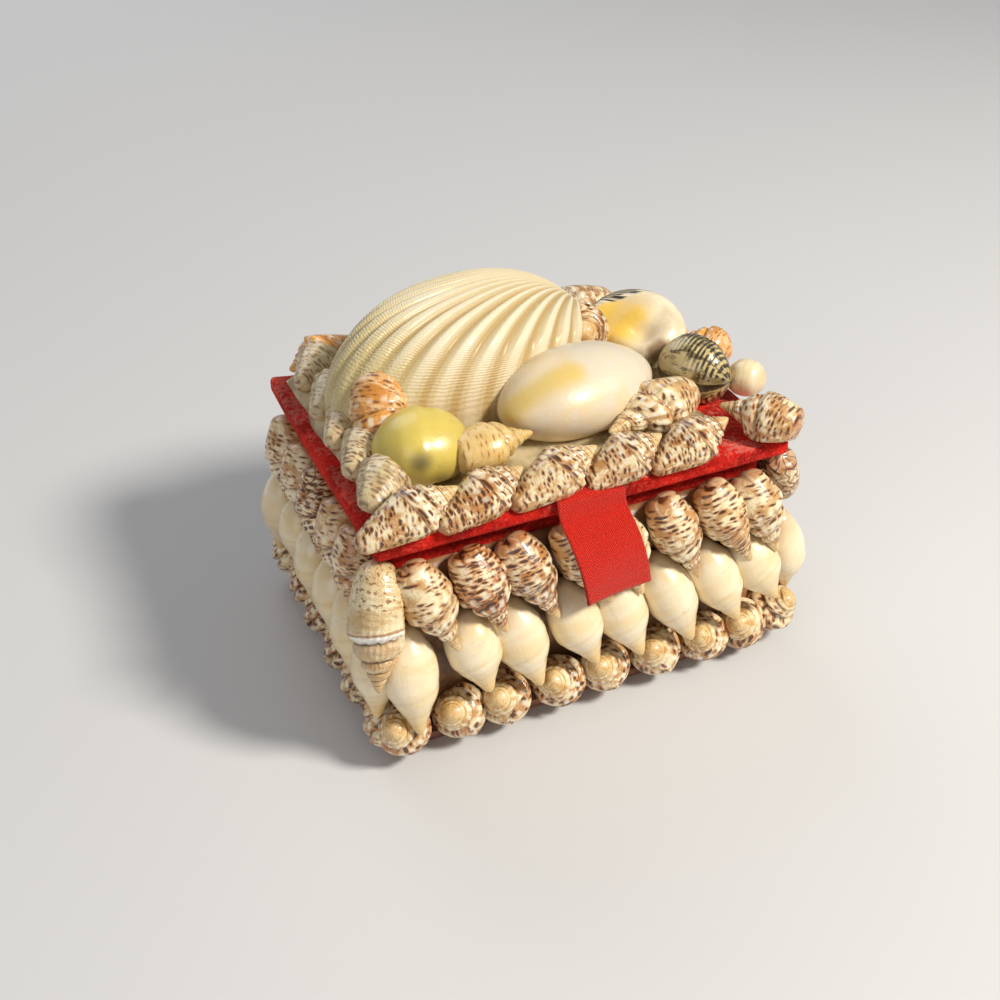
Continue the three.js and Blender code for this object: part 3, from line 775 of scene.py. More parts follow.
class Finish:
    """A material under construction."""

    def __init__(self, name, **gloss):
        self.material = bpy.data.materials.new(name)
        self.material.use_nodes = True
        self.tree = self.material.node_tree
        self.tree.nodes.clear()
        self.surface = self.tree.nodes.new("ShaderNodeBsdfPrincipled")
        out = self.tree.nodes.new("ShaderNodeOutputMaterial")
        self.tree.links.new(self.surface.outputs[0], out.inputs["Surface"])
        for key, value in gloss.items():
            self.surface.inputs[key.replace("_", " ")].default_value = value

    def node(self, kind, settings=None, sockets=None, out=0):
        """A node with its settings, and its sockets fed by values or other nodes."""
        made = self.tree.nodes.new(kind)
        for key, value in (settings or {}).items():
            setattr(made, key, value)
        for key, value in (sockets or {}).items():
            if isinstance(value, Socket):
                self.tree.links.new(value.link, made.inputs[key])
            elif isinstance(value, tuple) and len(value) == 3 and made.inputs[key].type == "RGBA":
                made.inputs[key].default_value = (*value, 1)
            else:
                made.inputs[key].default_value = value
        return Socket(self, made.outputs[out])

    def split(self, vector):
        return [self.node("ShaderNodeSeparateXYZ", {}, {0: vector}, i) for i in range(3)]

    def vector(self, x, y, z=0.0):
        return self.node("ShaderNodeCombineXYZ", {}, {0: x, 1: y, 2: z})

    def vectors(self, operation, first, second=None, out="Value"):
        sockets = {0: first} if second is None else {0: first, 1: second}
        return self.node("ShaderNodeVectorMath", {"operation": operation}, sockets, out)

    def coil(self):
        """The UV map: on a shell, turns round its axis and whorls along it."""
        return self.split(self.node("ShaderNodeUVMap", {"uv_map": "UVMap"}))[:2]

    def shell(self):
        """Share along the shell, seed, marks and tint."""
        node = self.node("ShaderNodeAttribute", {"attribute_name": "shell"}, {}, "Color")
        red, green, blue = self.split(node)
        alpha = Socket(self, node.link.node.outputs["Alpha"])
        return red, green, blue, alpha

    def spot(self):
        return self.node("ShaderNodeTexCoord", {}, {}, "Object")

    def mix(self, share, first, second):
        return self.node("ShaderNodeMix", {"data_type": "RGBA", "clamp_factor": True},
                         {0: share, 6: first, 7: second}, 2)

    def noise(self, vector, scale, detail=2.0, rough=0.5, warp=0.0):
        return self.node("ShaderNodeTexNoise", {"noise_dimensions": "3D"},
                         {"Vector": vector, "Scale": scale, "Detail": detail, "Roughness": rough,
                          "Distortion": warp})

    def cells(self, vector, randomness, out="Distance"):
        return self.node("ShaderNodeTexVoronoi", {"voronoi_dimensions": "2D"},
                         {"Vector": vector, "Scale": 1.0, "Randomness": randomness}, out)

    def stretched(self, vector, x, y, z):
        return self.node("ShaderNodeMapping", {}, {"Vector": vector, "Scale": (x, y, z)})

    def bump(self, height, strength, distance):
        return self.node("ShaderNodeBump", {}, {"Height": height, "Strength": strength, "Distance": distance})

    def set(self, **sockets):
        """Feeds the surface and gives the material back."""
        for key, value in sockets.items():
            self.tree.links.new(value.link, self.surface.inputs[key.replace("_", " ")])
        return self.material


def seam_distance(phase):
    """How far a place lies from the nearest seam between whorls, in whorls."""
    return ((phase.part() - 0.5).size() - 0.5).size()


def shell_relief(f, turn, whorl, share, seed, fine=0.5):
    """Growth lines along the coil, and faint threads round it."""
    lines = f.noise(f.vector(turn * 90.0, whorl * 1.5, seed * 17.0), 1.0, 2.0, 0.6)
    threads = f.noise(f.vector(turn * 3.0, share * 70.0, seed * 9.0), 1.0, 1.0, 0.5)
    pores = f.noise(f.spot(), 1900.0, 2.0)
    return lines * 0.5 + threads * 0.35 + pores * fine


def speckled_finish(name="speckled_shell", lane_count=18.0, column_count=18.0, veil=0.0,
                    veil_colour=(0.6, 0.55, 0.35), bare_tip=0.9, spire_lanes=3.2):
    """Cream to tan snail shell: dark dots in lanes along its whorls, brown clouds and a lacquered gloss."""
    f = Finish(name, Coat_Weight=0.5, Coat_Roughness=0.1, Specular_IOR_Level=0.6)
    turn, whorl = f.coil()
    share, seed, marks, tint = f.shell()
    phase = whorl + turn
    body = phase.between(-0.01, 0.01)
    ring = phase.whole().least(0.0)
    across = phase - ring
    # A grid of dots that follows the coil, with as many columns as the girth has room for
    drift = f.noise(f.vector(turn * 5.0, share * 6.0, seed * 31.0), 1.0, 2.0, 0.6)
    sway = f.noise(f.vector(turn * 9.0, share * 4.0, seed * 57.0), 1.0, 1.0)
    spire_lane = across * spire_lanes + ring * 5.3
    lanes = (share * lane_count + turn * 2.2) * body + spire_lane * (1 - body) + seed * 13.0
    girth = (share + (0.5 - lanes.part()) / lane_count).between(-0.16, 0.34) * body + 1.7 ** ring * (1 - body)
    grid = f.vector(turn * column_count * girth + lanes.whole() * 0.55 + seed * 40.0 + (drift - 0.5) * 1.4,
                    lanes + (sway - 0.5) * 0.9)
    centre_x, centre_y, _ = f.split(f.cells(grid, 0.75, "Position"))
    grid_x, grid_y, _ = f.split(grid)
    aside = grid_x - centre_x + (grid_y - centre_y) * 0.5
    above = grid_y - centre_y
    gap = (aside * aside + above * above * 2.0) ** 0.5
    chance, other, _ = f.split(f.cells(grid, 0.75, "Color"))
    reach = (0.16 + marks * 0.19) * (0.5 + chance * 0.9)
    shown = other.between(0.42 - marks * 0.5, 0.48 - marks * 0.5)
    whole = share.between(bare_tip + 0.07, bare_tip - 0.06)
    dots = gap.between(reach + 0.06, reach - 0.06) * shown * whole
    # Small specks between the dots, and wavy lines on some shells
    small = f.cells(f.vector(grid_x * 1.9 + sway * 3.0, grid_y * 2.1 + drift * 2.0), 0.95)
    specks = small.between(0.2, 0.08) * (0.15 + marks * 0.4) * drift.between(0.42, 0.56) * whole
    wander = f.noise(f.vector(share * 9.0, seed * 19.0, turn * 2.0), 1.0, 1.0)
    line = (turn * 10.0 + wander * 2.6 + (share * 9.0).wave() * 0.12).wave()
    lines = line.between(0.74, 0.94) * seed.between(0.78, 0.82) * body * marks.between(0.1, 0.5) * whole
    # Ground, from cream over tan to orange
    cloud = f.noise(f.vector(turn * 8.0, share * 6.0, seed * 77.0), 1.0, 3.0, 0.65, 0.8)
    warm = tint.between(0.05, 1.0)
    cold = tint.between(-0.1, -1.0)
    ground = f.mix(warm * 0.9, shade("shell_ground"), tone(204, 132, 62))
    ground = f.mix(cold * 0.8, ground, tone(170, 124, 80))
    ground = f.mix(cloud.between(0.6, 0.4) * 0.85, ground, tone(246, 231, 192))
    ground = f.mix(tint.between(0.9, 1.0) * phase.between(0.02, -0.02), ground, tone(240, 168, 52))
    ground = f.mix(cloud.between(0.48, 0.62) * (marks * 0.85 + 0.1), ground,
                   f.mix(warm, tone(186, 128, 70), tone(164, 84, 28)))
    ground = f.mix(share.between(0.72, 0.95) * 0.6, ground, tone(222, 182, 112))
    ground = f.mix(share.between(0.12, 0.0) * 0.5, ground, tone(180, 126, 92))
    if veil:
        haze = f.noise(f.spot(), 130.0, 2.0)
        ground = f.mix((haze - 0.5) * 0.5 + veil, ground, veil_colour)
    # Marks over the ground, each with a brown halo
    halo = gap.between(reach + 0.42, reach) * shown * whole
    colour = f.mix(halo * (marks * 0.4 + 0.5), ground, tone(172, 100, 38))
    colour = f.mix(specks, colour, tone(104, 60, 30))
    dark = f.mix(cold * 0.6, shade("shell_marks"), tone(54, 42, 44))
    colour = f.mix(lines * 0.8, colour, dark)
    colour = f.mix(dots * (1 - lines) * 0.9, colour, dark)
    from_seam = seam_distance(phase)
    # Painted shade in the seams between whorls, and pale knobs at the shoulder of each whorl that are painted
    # highlights
    groove = from_seam.between(0.12, 0.0) * (1 - body) + phase.size().between(0.05, 0.0) * body
    knob_highlights = (turn * 13.0 + 0.1).wave().between(-0.4, 0.8) * seed.between(0.0, 0.3)
    shoulder = from_seam.between(0.16, 0.4) * phase.between(0.55, 0.3) * phase.between(-2.4, -1.4)
    colour = f.mix(shoulder * knob_highlights * 0.7, colour, tone(252, 244, 222))
    colour = f.mix(groove * 0.65, colour, tone(112, 70, 38))
    if veil:
        colour = f.mix((haze - 0.5) * 0.7 + veil * 0.55, colour, veil_colour)
    relief = shell_relief(f, turn, whorl, share, seed)
    rough = 0.24 + f.noise(f.spot(), 220.0, 2.0) * 0.22
    return f.set(Base_Color=colour, Roughness=rough, Normal=f.bump(relief, 0.35, 0.0004))


def ivory_finish():
    """Smooth ivory shell, yellower at its tip, with faint growth lines."""
    f = Finish("ivory_shell", Coat_Weight=0.5, Coat_Roughness=0.12, Specular_IOR_Level=0.5,
               Subsurface_Weight=0.12, Subsurface_Scale=0.002, Subsurface_Radius=(1.0, 0.8, 0.55))
    turn, whorl = f.coil()
    share, seed, _, _ = f.shell()
    cloud = f.noise(f.vector(turn * 3.0, share * 5.0, seed * 41.0), 1.0, 3.0, 0.6, 0.5)
    ground = f.mix(cloud.between(0.35, 0.7) * 0.6, shade("ivory"), tone(232, 202, 140))
    ground = f.mix(share.between(0.66, 0.98) * 0.8, ground, tone(224, 184, 104))
    ground = f.mix(share.between(0.3, 0.0) * 0.6, ground, tone(206, 172, 122))
    bands = f.noise(f.vector(turn * 26.0, share * 1.5, seed * 23.0), 1.0, 2.0)
    ground = f.mix(bands.between(0.55, 0.75) * 0.18, ground, tone(214, 186, 140))
    stain = f.noise(f.vector(turn * 5.0, share * 9.0, seed * 5.0), 1.0, 3.0, 0.7)
    ground = f.mix(stain.between(0.6, 0.76) * 0.4, ground, tone(186, 140, 84))
    phase = whorl + turn
    # Painted shade in the seams between whorls, faint and soft
    from_seam = seam_distance(phase)
    spire = phase.between(0.06, -0.06)
    groove = from_seam.between(0.2, 0.0) * spire + phase.size().between(0.1, 0.0) * (1 - spire)
    colour = f.mix(groove * 0.22, ground, tone(204, 164, 108))
    relief = shell_relief(f, turn, whorl, share, seed, 0.6)
    rough = 0.2 + f.noise(f.spot(), 160.0, 2.0) * 0.2
    return f.set(Base_Color=colour, Roughness=rough, Normal=f.bump(relief, 0.25, 0.0003))


def corner_finish():
    """Whitish shell with brown dashes, a brown line over a shiny white band, and a browner spire."""
    f = Finish("corner_shell", Coat_Weight=0.3, Coat_Roughness=0.1, Specular_IOR_Level=0.6,
               Subsurface_Weight=0.2, Subsurface_Scale=0.002, Subsurface_Radius=(1.0, 0.8, 0.6))
    turn, whorl = f.coil()
    share, seed, _, _ = f.shell()
    cloud = f.noise(f.vector(turn * 5.0, share * 6.0, 3.0), 1.0, 3.0, 0.65, 0.6)
    ground = f.mix(cloud.between(0.35, 0.65), tone(236, 220, 182), tone(206, 172, 116))
    ground = f.mix(share.between(0.34, 0.0) * 0.6, ground, tone(220, 196, 148))
    phase = whorl + turn
    spire = phase.between(0.02, -0.02)
    dashes = f.noise(f.vector(turn * 30.0, share * 34.0, 5.0), 1.0, 2.0)
    ground = f.mix(dashes.between(0.56, 0.62) * share.between(0.42, 0.3) * 0.8, ground, tone(142, 92, 50))
    lower = phase.part().between(0.34, 0.62) * spire
    ground = f.mix(lower * 0.5, ground, tone(184, 132, 76))
    white = phase.between(0.0, 0.03) * phase.between(0.34, 0.28)
    ground = f.mix(white, ground, tone(252, 248, 238))
    band = (phase - 0.36).size()
    ground = f.mix(band.between(0.06, 0.03) * 0.7, ground, tone(158, 102, 54))
    ground = f.mix(share.between(0.86, 0.94) * 0.6, ground, tone(214, 178, 112))
    # Painted shade in the seams between the spire's whorls
    from_seam = seam_distance(phase)
    groove = from_seam.between(0.12, 0.0) * phase.between(0.06, -0.02)
    colour = f.mix(groove * 0.8, ground, tone(96, 62, 38))
    relief = shell_relief(f, turn, whorl, share, seed, 1.0)
    return f.set(Base_Color=colour, Roughness=0.18 + cloud * 0.2, Normal=f.bump(relief, 0.45, 0.0005))


def ark_finish():
    """Creamy ribbed valve with painted highlights along the rib crests, yellowish grooves darkened partly as
    painted shade, and fine beads along the ribs.
    """
    f = Finish("ark_shell", Coat_Weight=0.2, Coat_Roughness=0.2, Specular_IOR_Level=0.5)
    turn, out = f.coil()
    wave = (turn * float(sizes().ark_ribs) + 0.25).wave()
    groove = wave.between(-0.35, -0.95)
    crest_highlight = wave.between(0.0, 0.9)
    place = f.spot()
    cloud = f.noise(place, 45.0, 3.0, 0.6)
    ground = f.mix(cloud.between(0.35, 0.7) * 0.5, shade("ark"), tone(206, 182, 128))
    # Painted highlights on the whiter rib crests; darker grooves are their own yellowish tone with painted
    # shade
    ground = f.mix(crest_highlight * 0.75, ground, tone(236, 226, 198))
    ground = f.mix(groove * 0.75, ground, tone(176, 142, 76))
    ground = f.mix(out.between(0.6, 0.85) * 0.4, ground, tone(190, 160, 112))
    ground = f.mix(out.between(0.22, 0.0) * 0.4, ground, tone(232, 220, 190))
    left, _, _ = f.split(place)
    glued = (left + (cloud - 0.5) * 0.02).between(-0.022, -0.036)
    ground = f.mix(glued * 0.7, ground, tone(204, 186, 130))
    beads = (out * 140.0 + f.noise(place, 300.0) * 1.2).wave()
    fine = f.noise(place, 700.0, 2.0)
    sparkle = f.noise(place, 1700.0, 1.0)
    relief = beads * 0.18 + fine * 0.5 + sparkle * (glued * 1.2 + 0.25)
    rough = 0.4 + f.noise(place, 120.0, 2.0) * 0.25 - glued * 0.28
    return f.set(Base_Color=ground, Roughness=rough, Normal=f.bump(relief, 0.45, 0.0004))


def gaping_finish():
    """Snail shell seen from below: yellow callus, white lip, a dashed black rim and a striped grey back."""
    f = Finish("gaping_shell", Coat_Weight=0.1, Coat_Roughness=0.15, Specular_IOR_Level=0.6)
    place = f.spot()
    offset = f.vectors("SUBTRACT", place, GAPING_MIDDLE, "Vector")
    facing = f.vectors("DOT_PRODUCT", offset, GAPING_FACE) * (1 / MM)
    cloud = f.noise(place, 170.0, 3.0, 0.6, 0.5)
    fine = f.noise(place, 900.0, 2.0)
    turn, _ = f.coil()
    stripes = (turn * 70.0 + cloud * 3.0).wave()
    dashes = f.noise(f.vector(turn * 46.0, 3.0), 1.0, 1.0)
    back = f.mix(stripes.between(-0.2, 0.5), tone(52, 46, 40), tone(176, 162, 128))
    front = f.mix(cloud.between(0.35, 0.65) * 0.5, tone(238, 224, 194), tone(206, 182, 142))
    callus = f.vectors("DISTANCE", place, GAPING_CALLUS)
    front = f.mix((callus + (cloud - 0.5) * 0.006).between(0.0115, 0.004), front, tone(232, 192, 84))
    # Painted shade: brown in the hollow of the callus
    hollow = f.vectors("DISTANCE", place, GAPING_HOLLOW)
    front = f.mix((hollow + (cloud - 0.5) * 0.003).between(0.0042, 0.0022) * 0.8, front, tone(120, 86, 56))
    rim = f.mix(dashes.between(0.47, 0.53), tone(34, 30, 28), tone(226, 214, 184))
    edge = facing + (cloud - 0.5) * 0.8
    colour = f.mix(edge.between(-2.9, -2.3), rim, front)
    colour = f.mix(edge.between(-3.9, -3.6), back, colour)
    return f.set(Base_Color=colour, Roughness=0.22 + cloud * 0.25,
                 Normal=f.bump(cloud * 0.6 + fine * 0.5, 0.45, 0.0004))


def patched_finish(name, base, other, start, end, reach, softness, patch_colour, strength):
    """Large smooth shell in two close tones, with one soft patch along a line given in millimetres."""
    f = Finish(name, Coat_Weight=0.25, Coat_Roughness=0.1, Specular_IOR_Level=0.6,
               Subsurface_Weight=0.12, Subsurface_Scale=0.003, Subsurface_Radius=(1.0, 0.85, 0.6))
    place = f.spot()
    cloud = f.noise(place, 60.0, 3.0, 0.6, 0.6)
    colour = f.mix(cloud.between(0.4, 0.64), base, other)
    first, last = Vector(start) * MM, Vector(end) * MM
    middle, half = (first + last) / 2, (last - first) / 2
    line = half.normalized()
    offset = f.vectors("SUBTRACT", place, tuple(middle), "Vector")
    along = f.vectors("DOT_PRODUCT", offset, tuple(line))
    size = f.vectors("LENGTH", offset)
    past = (along.size() - half.length).most(0.0)
    aside = (size * size - along * along).most(0.0) ** 0.5
    away = (past * past + aside * aside) ** 0.5 + (cloud - 0.5) * (reach * MM * 0.8)
    patch = away.between(reach * MM, (reach - softness * 2.4) * MM * 0.5)
    colour = f.mix(patch * strength, colour, patch_colour)
    relief = f.noise(place, 180.0, 2.0) * 0.5 + f.noise(place, 1500.0, 2.0) * 0.35
    rough = 0.2 + cloud * 0.3
    return f.set(Base_Color=colour, Roughness=rough, Normal=f.bump(relief, 0.4, 0.0004))


def nerite_finish():
    """Dark cords over a khaki ground with cream streaks, paler on the left."""
    f = Finish("dark_shell", Coat_Weight=0.6, Coat_Roughness=0.08, Specular_IOR_Level=0.6)
    turn, _ = f.coil()
    share, _, _, _ = f.shell()
    cord = ((share + turn * 0.16) * 17.0 + 0.25).wave()
    streak = f.noise(f.vector(turn * 24.0, share * 3.0, 3.0), 1.0, 3.0, 0.6, 1.0)
    ground = f.mix(streak.between(0.42, 0.58), tone(118, 102, 60), tone(204, 184, 128))
    dashes = f.noise(f.vector(turn * 34.0, share * 13.0, 8.0), 1.0, 2.0)
    half = (turn - 0.34).size()
    dense = half.between(0.02, 0.11) * 0.25
    right, _, _ = f.split(f.spot())
    pale = right.between(0.0385, 0.034)
    ground = f.mix(pale * streak.between(0.4, 0.5), ground, tone(196, 178, 128))
    dark = cord.between(-0.5, 0.3) * (dashes - dense).between(0.4, 0.3)
    dark = dark * (1 - pale * streak.between(0.36, 0.46))
    colour = f.mix(dark * 0.95, ground, tone(34, 30, 26))
    band = half.between(0.035, 0.02)
    colour = f.mix(band * 0.9, colour, tone(30, 27, 24))
    return f.set(Base_Color=colour, Roughness=0.22 + streak * 0.2,
                 Normal=f.bump(f.noise(f.spot(), 700.0, 2.0), 0.2, 0.0003))


def velvet_finish():
    """Red velvet: a short crushed pile with pale dust in it. Its crushed patches are painted between a shaded
    half-dark copy and the lit red, with painted pink highlights on the pile tips and painted shade in its
    pits.
    """
    f = Finish("red_velvet", Sheen_Weight=0.35, Sheen_Roughness=0.4, Specular_IOR_Level=0.12)
    f.surface.inputs["Sheen Tint"].default_value = (*tone(255, 110, 90), 1)
    place = f.spot()
    crush = f.noise(place, 130.0, 3.0, 0.65, 0.6)
    pile = f.noise(place, 1500.0, 2.0, 0.7)
    fibres = f.noise(f.stretched(place, 700.0, 700.0, 2600.0), 1.0, 2.0)
    # Painted light and shade: crushed patches go from a shaded copy of the velvet at half its colour to the
    # lit one
    colour = f.mix(crush.between(0.35, 0.65), shade("velvet", 0.5), shade("velvet"))
    # Painted highlights on the pinkish pile tips, then painted shade in the dark pile pits
    colour = f.mix(pile.between(0.5, 0.7) * 0.5, colour, tone(230, 76, 56))
    colour = f.mix(pile.between(0.45, 0.3) * 0.5, colour, tone(98, 6, 6))
    right, _, height = f.split(place)
    upper = height.between((LID_TOP - 0.7) * MM, (LID_TOP + 0.1) * MM)
    dust = f.noise(place, 110.0, 4.0, 0.75, 0.5) * 0.7 + f.noise(place, 900.0, 2.0, 0.7) * 0.5
    spread = right.between(-0.035, 0.0) * right.between(0.045, 0.015) * 0.7 + 0.3
    dusty = dust.between(0.64 - upper * 0.08, 0.78 - upper * 0.08) * (upper * 0.4 + 0.2) * spread
    colour = f.mix(dusty, colour, tone(236, 190, 172))
    relief = pile * 0.8 + fibres * 0.5 + crush * 0.8
    return f.set(Base_Color=colour, Roughness=0.85 + pile * 0.1, Normal=f.bump(relief, 0.55, 0.0006))


def satin_finish():
    """Red satin ribbon with a fine weave, painted between a shaded and a lit red along its threads, and
    diagonal flecks of painted highlight.
    """
    f = Finish("red_satin", Sheen_Weight=0.05, Sheen_Roughness=0.3, Specular_IOR_Level=0.3)
    across, along = f.coil()
    slub = f.noise(f.vector(across * 30.0, along * 30.0), 1.0, 2.0)
    twill = ((across * 0.75 + along) * 34.0 + slub * 0.8).wave()
    threads = ((across * 1.3 - along) * 20.0 + slub).wave()
    glint_flecks = f.noise(f.vector(across * 64.0 + along * 36.0, along * 92.0 - across * 32.0), 1.0, 3.0, 0.7)
    weave = twill * 0.22 + threads * 0.16 + glint_flecks * 1.6
    # Painted light and shade: the weave goes from a shaded copy of the satin in its pits to the lit one on
    # its threads
    colour = f.mix(weave.between(0.45, 1.1), shade("satin", 0.45), shade("satin"))
    # Painted highlights: pale pink glints where the weave and the flecks are highest
    colour = f.mix(weave.between(0.95, 1.25) * 0.8, colour, tone(255, 112, 80))
    rough = 0.3 + glint_flecks * 0.2
    return f.set(Base_Color=colour, Roughness=rough, Normal=f.bump(weave, 0.9, 0.0003))


def card_finish():
    """Bare pinkish brown card with a fibrous edge."""
    f = Finish("bare_card", Specular_IOR_Level=0.25)
    place = f.spot()
    fibres = f.noise(f.stretched(place, 120.0, 120.0, 1400.0), 1.0, 3.0)
    stains = f.noise(place, 70.0, 3.0, 0.6)
    colour = f.mix(fibres.between(0.35, 0.65), tone(150, 98, 82), tone(196, 142, 120))
    colour = f.mix(stains.between(0.5, 0.7) * 0.5, colour, tone(120, 74, 60))
    return f.set(Base_Color=colour, Roughness=0.8 + fibres * 0.15, Normal=f.bump(fibres, 0.3, 0.0004))


def amber_glue_and_shade_finish():
    """Brown glue and dust between the wall's shells, a dark bed that is also painted shade in the gaps
    between them.
    """
    f = Finish("amber_glue", Coat_Weight=0.3, Coat_Roughness=0.25, Specular_IOR_Level=0.4)
    cloud = f.noise(f.spot(), 160.0, 4.0, 0.65)
    # Mottled between a dark copy at a third of the glue's colour and the glue's own, dark for the glue and as
    # painted shade between the shells
    colour = f.mix(cloud.between(0.35, 0.65), shade("amber_glue", 0.35), shade("amber_glue"))
    return f.set(Base_Color=colour, Roughness=0.4 + cloud * 0.3, Normal=f.bump(cloud, 0.5, 0.001))


def glue_finish():
    """Dried clear glue that has turned milky and yellow, mottled down to half its colour, which is partly
    painted shade between the lid's shells.
    """
    f = Finish("dried_glue", Coat_Weight=0.5, Coat_Roughness=0.1, Specular_IOR_Level=0.5,
               Subsurface_Weight=0.3, Subsurface_Scale=0.004, Subsurface_Radius=(1.0, 0.85, 0.6))
    place = f.spot()
    cloud = f.noise(place, 150.0, 3.0, 0.6)
    # Mottled between a copy at half the glue's colour and the glue's own: partly the glue's own clouding,
    # partly painted shade
    colour = f.mix(cloud.between(0.35, 0.65), shade("milky_glue", 0.5), shade("milky_glue"))
    return f.set(Base_Color=colour, Roughness=0.25 + cloud * 0.2, Normal=f.bump(cloud, 0.3, 0.001))


FINISHES = {
    "velvet": velvet_finish,
    "bare_card": card_finish,
    "satin": satin_finish,
    "amber_glue": amber_glue_and_shade_finish,
    "milky_glue": glue_finish,
    "ark_shell": ark_finish,
    "gaping_shell": gaping_finish,
    "corner_shell": corner_finish,
    "dark_shell": nerite_finish,
    "white_shell": ivory_finish,
    "speckled_shell": speckled_finish,
    "orange_shell": lambda: speckled_finish("orange_shell", veil=0.3, veil_colour=tone(226, 158, 60)),
    "pink_shell": lambda: speckled_finish("pink_shell"),
    "round_shell": lambda: speckled_finish("round_shell", 7.0, 22.0, bare_tip=0.78, spire_lanes=2.0),
    "upright_shell": lambda: speckled_finish("upright_shell", 7.0, 20.0, bare_tip=0.86, spire_lanes=2.0),
    "honey_shell": lambda: speckled_finish("honey_shell", veil=0.6, veil_colour=tone(222, 186, 108)),
    "drowned_shell": lambda: speckled_finish("drowned_shell", veil=0.5, veil_colour=tone(196, 184, 140)),
    "yellow_shell": lambda: patched_finish("yellow_shell", shade("cowrie"), shade("cowrie", 0.82),
                                           (-35.2, -24.7, 67.4), (-35.0, -24.7, 67.5), 3.6, 1.2,
                                           tone(104, 94, 66), 0.9),
    "moon_shell": lambda: patched_finish("moon_shell", shade("moon"), tone(226, 204, 164),
                                         (-10.5, -15.5, 68.5),
                                         (4.0, -15.5, 75.0), 5.0, 1.0, tone(220, 190, 98), 0.8),
}


def finish_of(name):
    """The finish of that name, made at its first use."""
    made = bpy.data.materials.get(name + "_finish")
    if made is None:
        made = FINISHES[name]()
        made.name = name + "_finish"
    return made


# Boards, ribbon, stage

LID_BEVEL = 1.3
LID_CUTS = 2.0


def build_lid_board(finish):
    """Velvet covered lid board with soft edges and a warped rear left corner."""
    deselect()
    bpy.ops.mesh.primitive_cube_add(size=1, location=(0, 0, (LID_UNDER + LID_THICKNESS / 2) * MM),
                                    scale=(BOX_WIDTH * MM, BOX_DEPTH * MM, LID_THICKNESS * MM))
    board = active("lid_board_look")
    bpy.ops.object.transform_apply(location=True, rotation=False, scale=True)
    bpy.ops.object.mode_set(mode="EDIT")
    bpy.ops.mesh.select_all(action="SELECT")
    bpy.ops.mesh.bevel(offset=LID_BEVEL * MM, segments=5, affect="EDGES")
    for axis, half in (((1, 0, 0), BOX_WIDTH / 2), ((0, 1, 0), BOX_DEPTH / 2)):
        at = -half + 2.2
        while at < half - 2.1:
            bpy.ops.mesh.select_all(action="SELECT")
            bpy.ops.mesh.bisect(plane_co=tuple(part * at * MM for part in axis), plane_no=axis)
            at += LID_CUTS
    bpy.ops.object.mode_set(mode="OBJECT")
    mesh = board.data
    spots = corners(mesh) / MM
    x, y = spots[:, 0], spots[:, 1]
    sag = 0.07 * np.sin(x / 11 + 0.4) * np.cos(y / 14)
    edge = np.minimum(BOX_WIDTH / 2 - np.abs(x), BOX_DEPTH / 2 - np.abs(y))
    dents = 0.16 * np.sin(x / 3.1) * np.sin(y / 2.7 + 1) * (edge < 2)
    spots[:, 2] += lid_lift(x, y) + sag + dents
    move_corners(mesh, spots * MM)
    finish_mesh(mesh)
    return settle(board, finish, "velvet", "lid_board")


def build_ribbon(finish):
    """Satin ribbon: from the lid's top over its front edge, down, round the fold and back up behind."""
    edge = -BOX_DEPTH / 2
    hang = ribbon_hang()
    width = sizes().ribbon_width / MM
    outer = [(edge + RIBBON_TAIL, LID_TOP + 0.95, 0), (edge + 3, LID_TOP + 1.0, 0),
             (edge + 0.5, LID_TOP + 0.95, 0), (RIBBON_FRONT - 0.2, LID_TOP + 0.1, 0),
             (RIBBON_FRONT - 0.45, LID_TOP - 1.6, 0.02)]
    outer += [(y - 0.4, z, swing) for y, z, swing in hang[:-1]]
    foot = hang[-1]
    outer += [(foot[0] - 0.35, foot[1] + 0.5, 1.0), (foot[0], foot[1] + 0.12, 1.0)]
    inner = [(y + 0.35, z + (0.5 if z == foot[1] else 0), swing) for y, z, swing in reversed(hang)]
    path = outer + inner
    reach = np.concatenate([[0], np.cumsum([math.dist(a[:2], b[:2]) for a, b in zip(path, path[1:])])])
    rows, columns = 120, 24
    fine = np.linspace(0, reach[-1], rows)
    ys, zs, swings = (smooth_curve([(r, s[k]) for r, s in zip(reach, path)], fine) for k in range(3))
    run = np.concatenate([[0], np.cumsum(np.hypot(np.diff(ys), np.diff(zs)))])
    deselect()
    bpy.ops.mesh.primitive_grid_add(x_subdivisions=columns, y_subdivisions=rows - 1, size=1)
    ribbon = active("ribbon_pull_look")
    mesh = ribbon.data
    grid = corners(mesh)
    side = grid[:, 0] * 2
    row = np.round((grid[:, 1] + 0.5) * (rows - 1)).astype(int)
    loose = eased(run[row], 12.0, 26.0)
    cup = 0.3 * (side**2) * loose + 0.1 * np.sin(2.4 * side + run[row] * 0.35) * loose
    x = RIBBON_CENTRE + swings[row] * RIBBON_SWING + side * width / 2
    y = ys[row] + side * swings[row] * RIBBON_TWIST - cup
    move_corners(mesh, np.stack([x, y, zs[row]], axis=1) * MM)
    loops = np.empty(len(mesh.loops), dtype=np.int32)
    mesh.loops.foreach_get("vertex_index", loops)
    uv = np.stack([side[loops] / 2, run[row][loops] / width], axis=1)
    mesh.uv_layers[0].uv.foreach_set("vector", uv.astype(np.float32).ravel())
    finish_mesh(mesh)
    thicken(ribbon, 0.22, 0)
    settle(ribbon, finish, "satin_ribbon", "ribbon_pull")
    return ribbon


# Camera fitted to the box in the photograph: angles in degrees, focal length in pixels, places in millimetres
SENSOR = 36
PICTURE = 1000
VIEW = dict(turn=-24.93, rise=35.18, roll=0.48, focal=1373.0, right=-4.806, up=26.272, away=352.89)


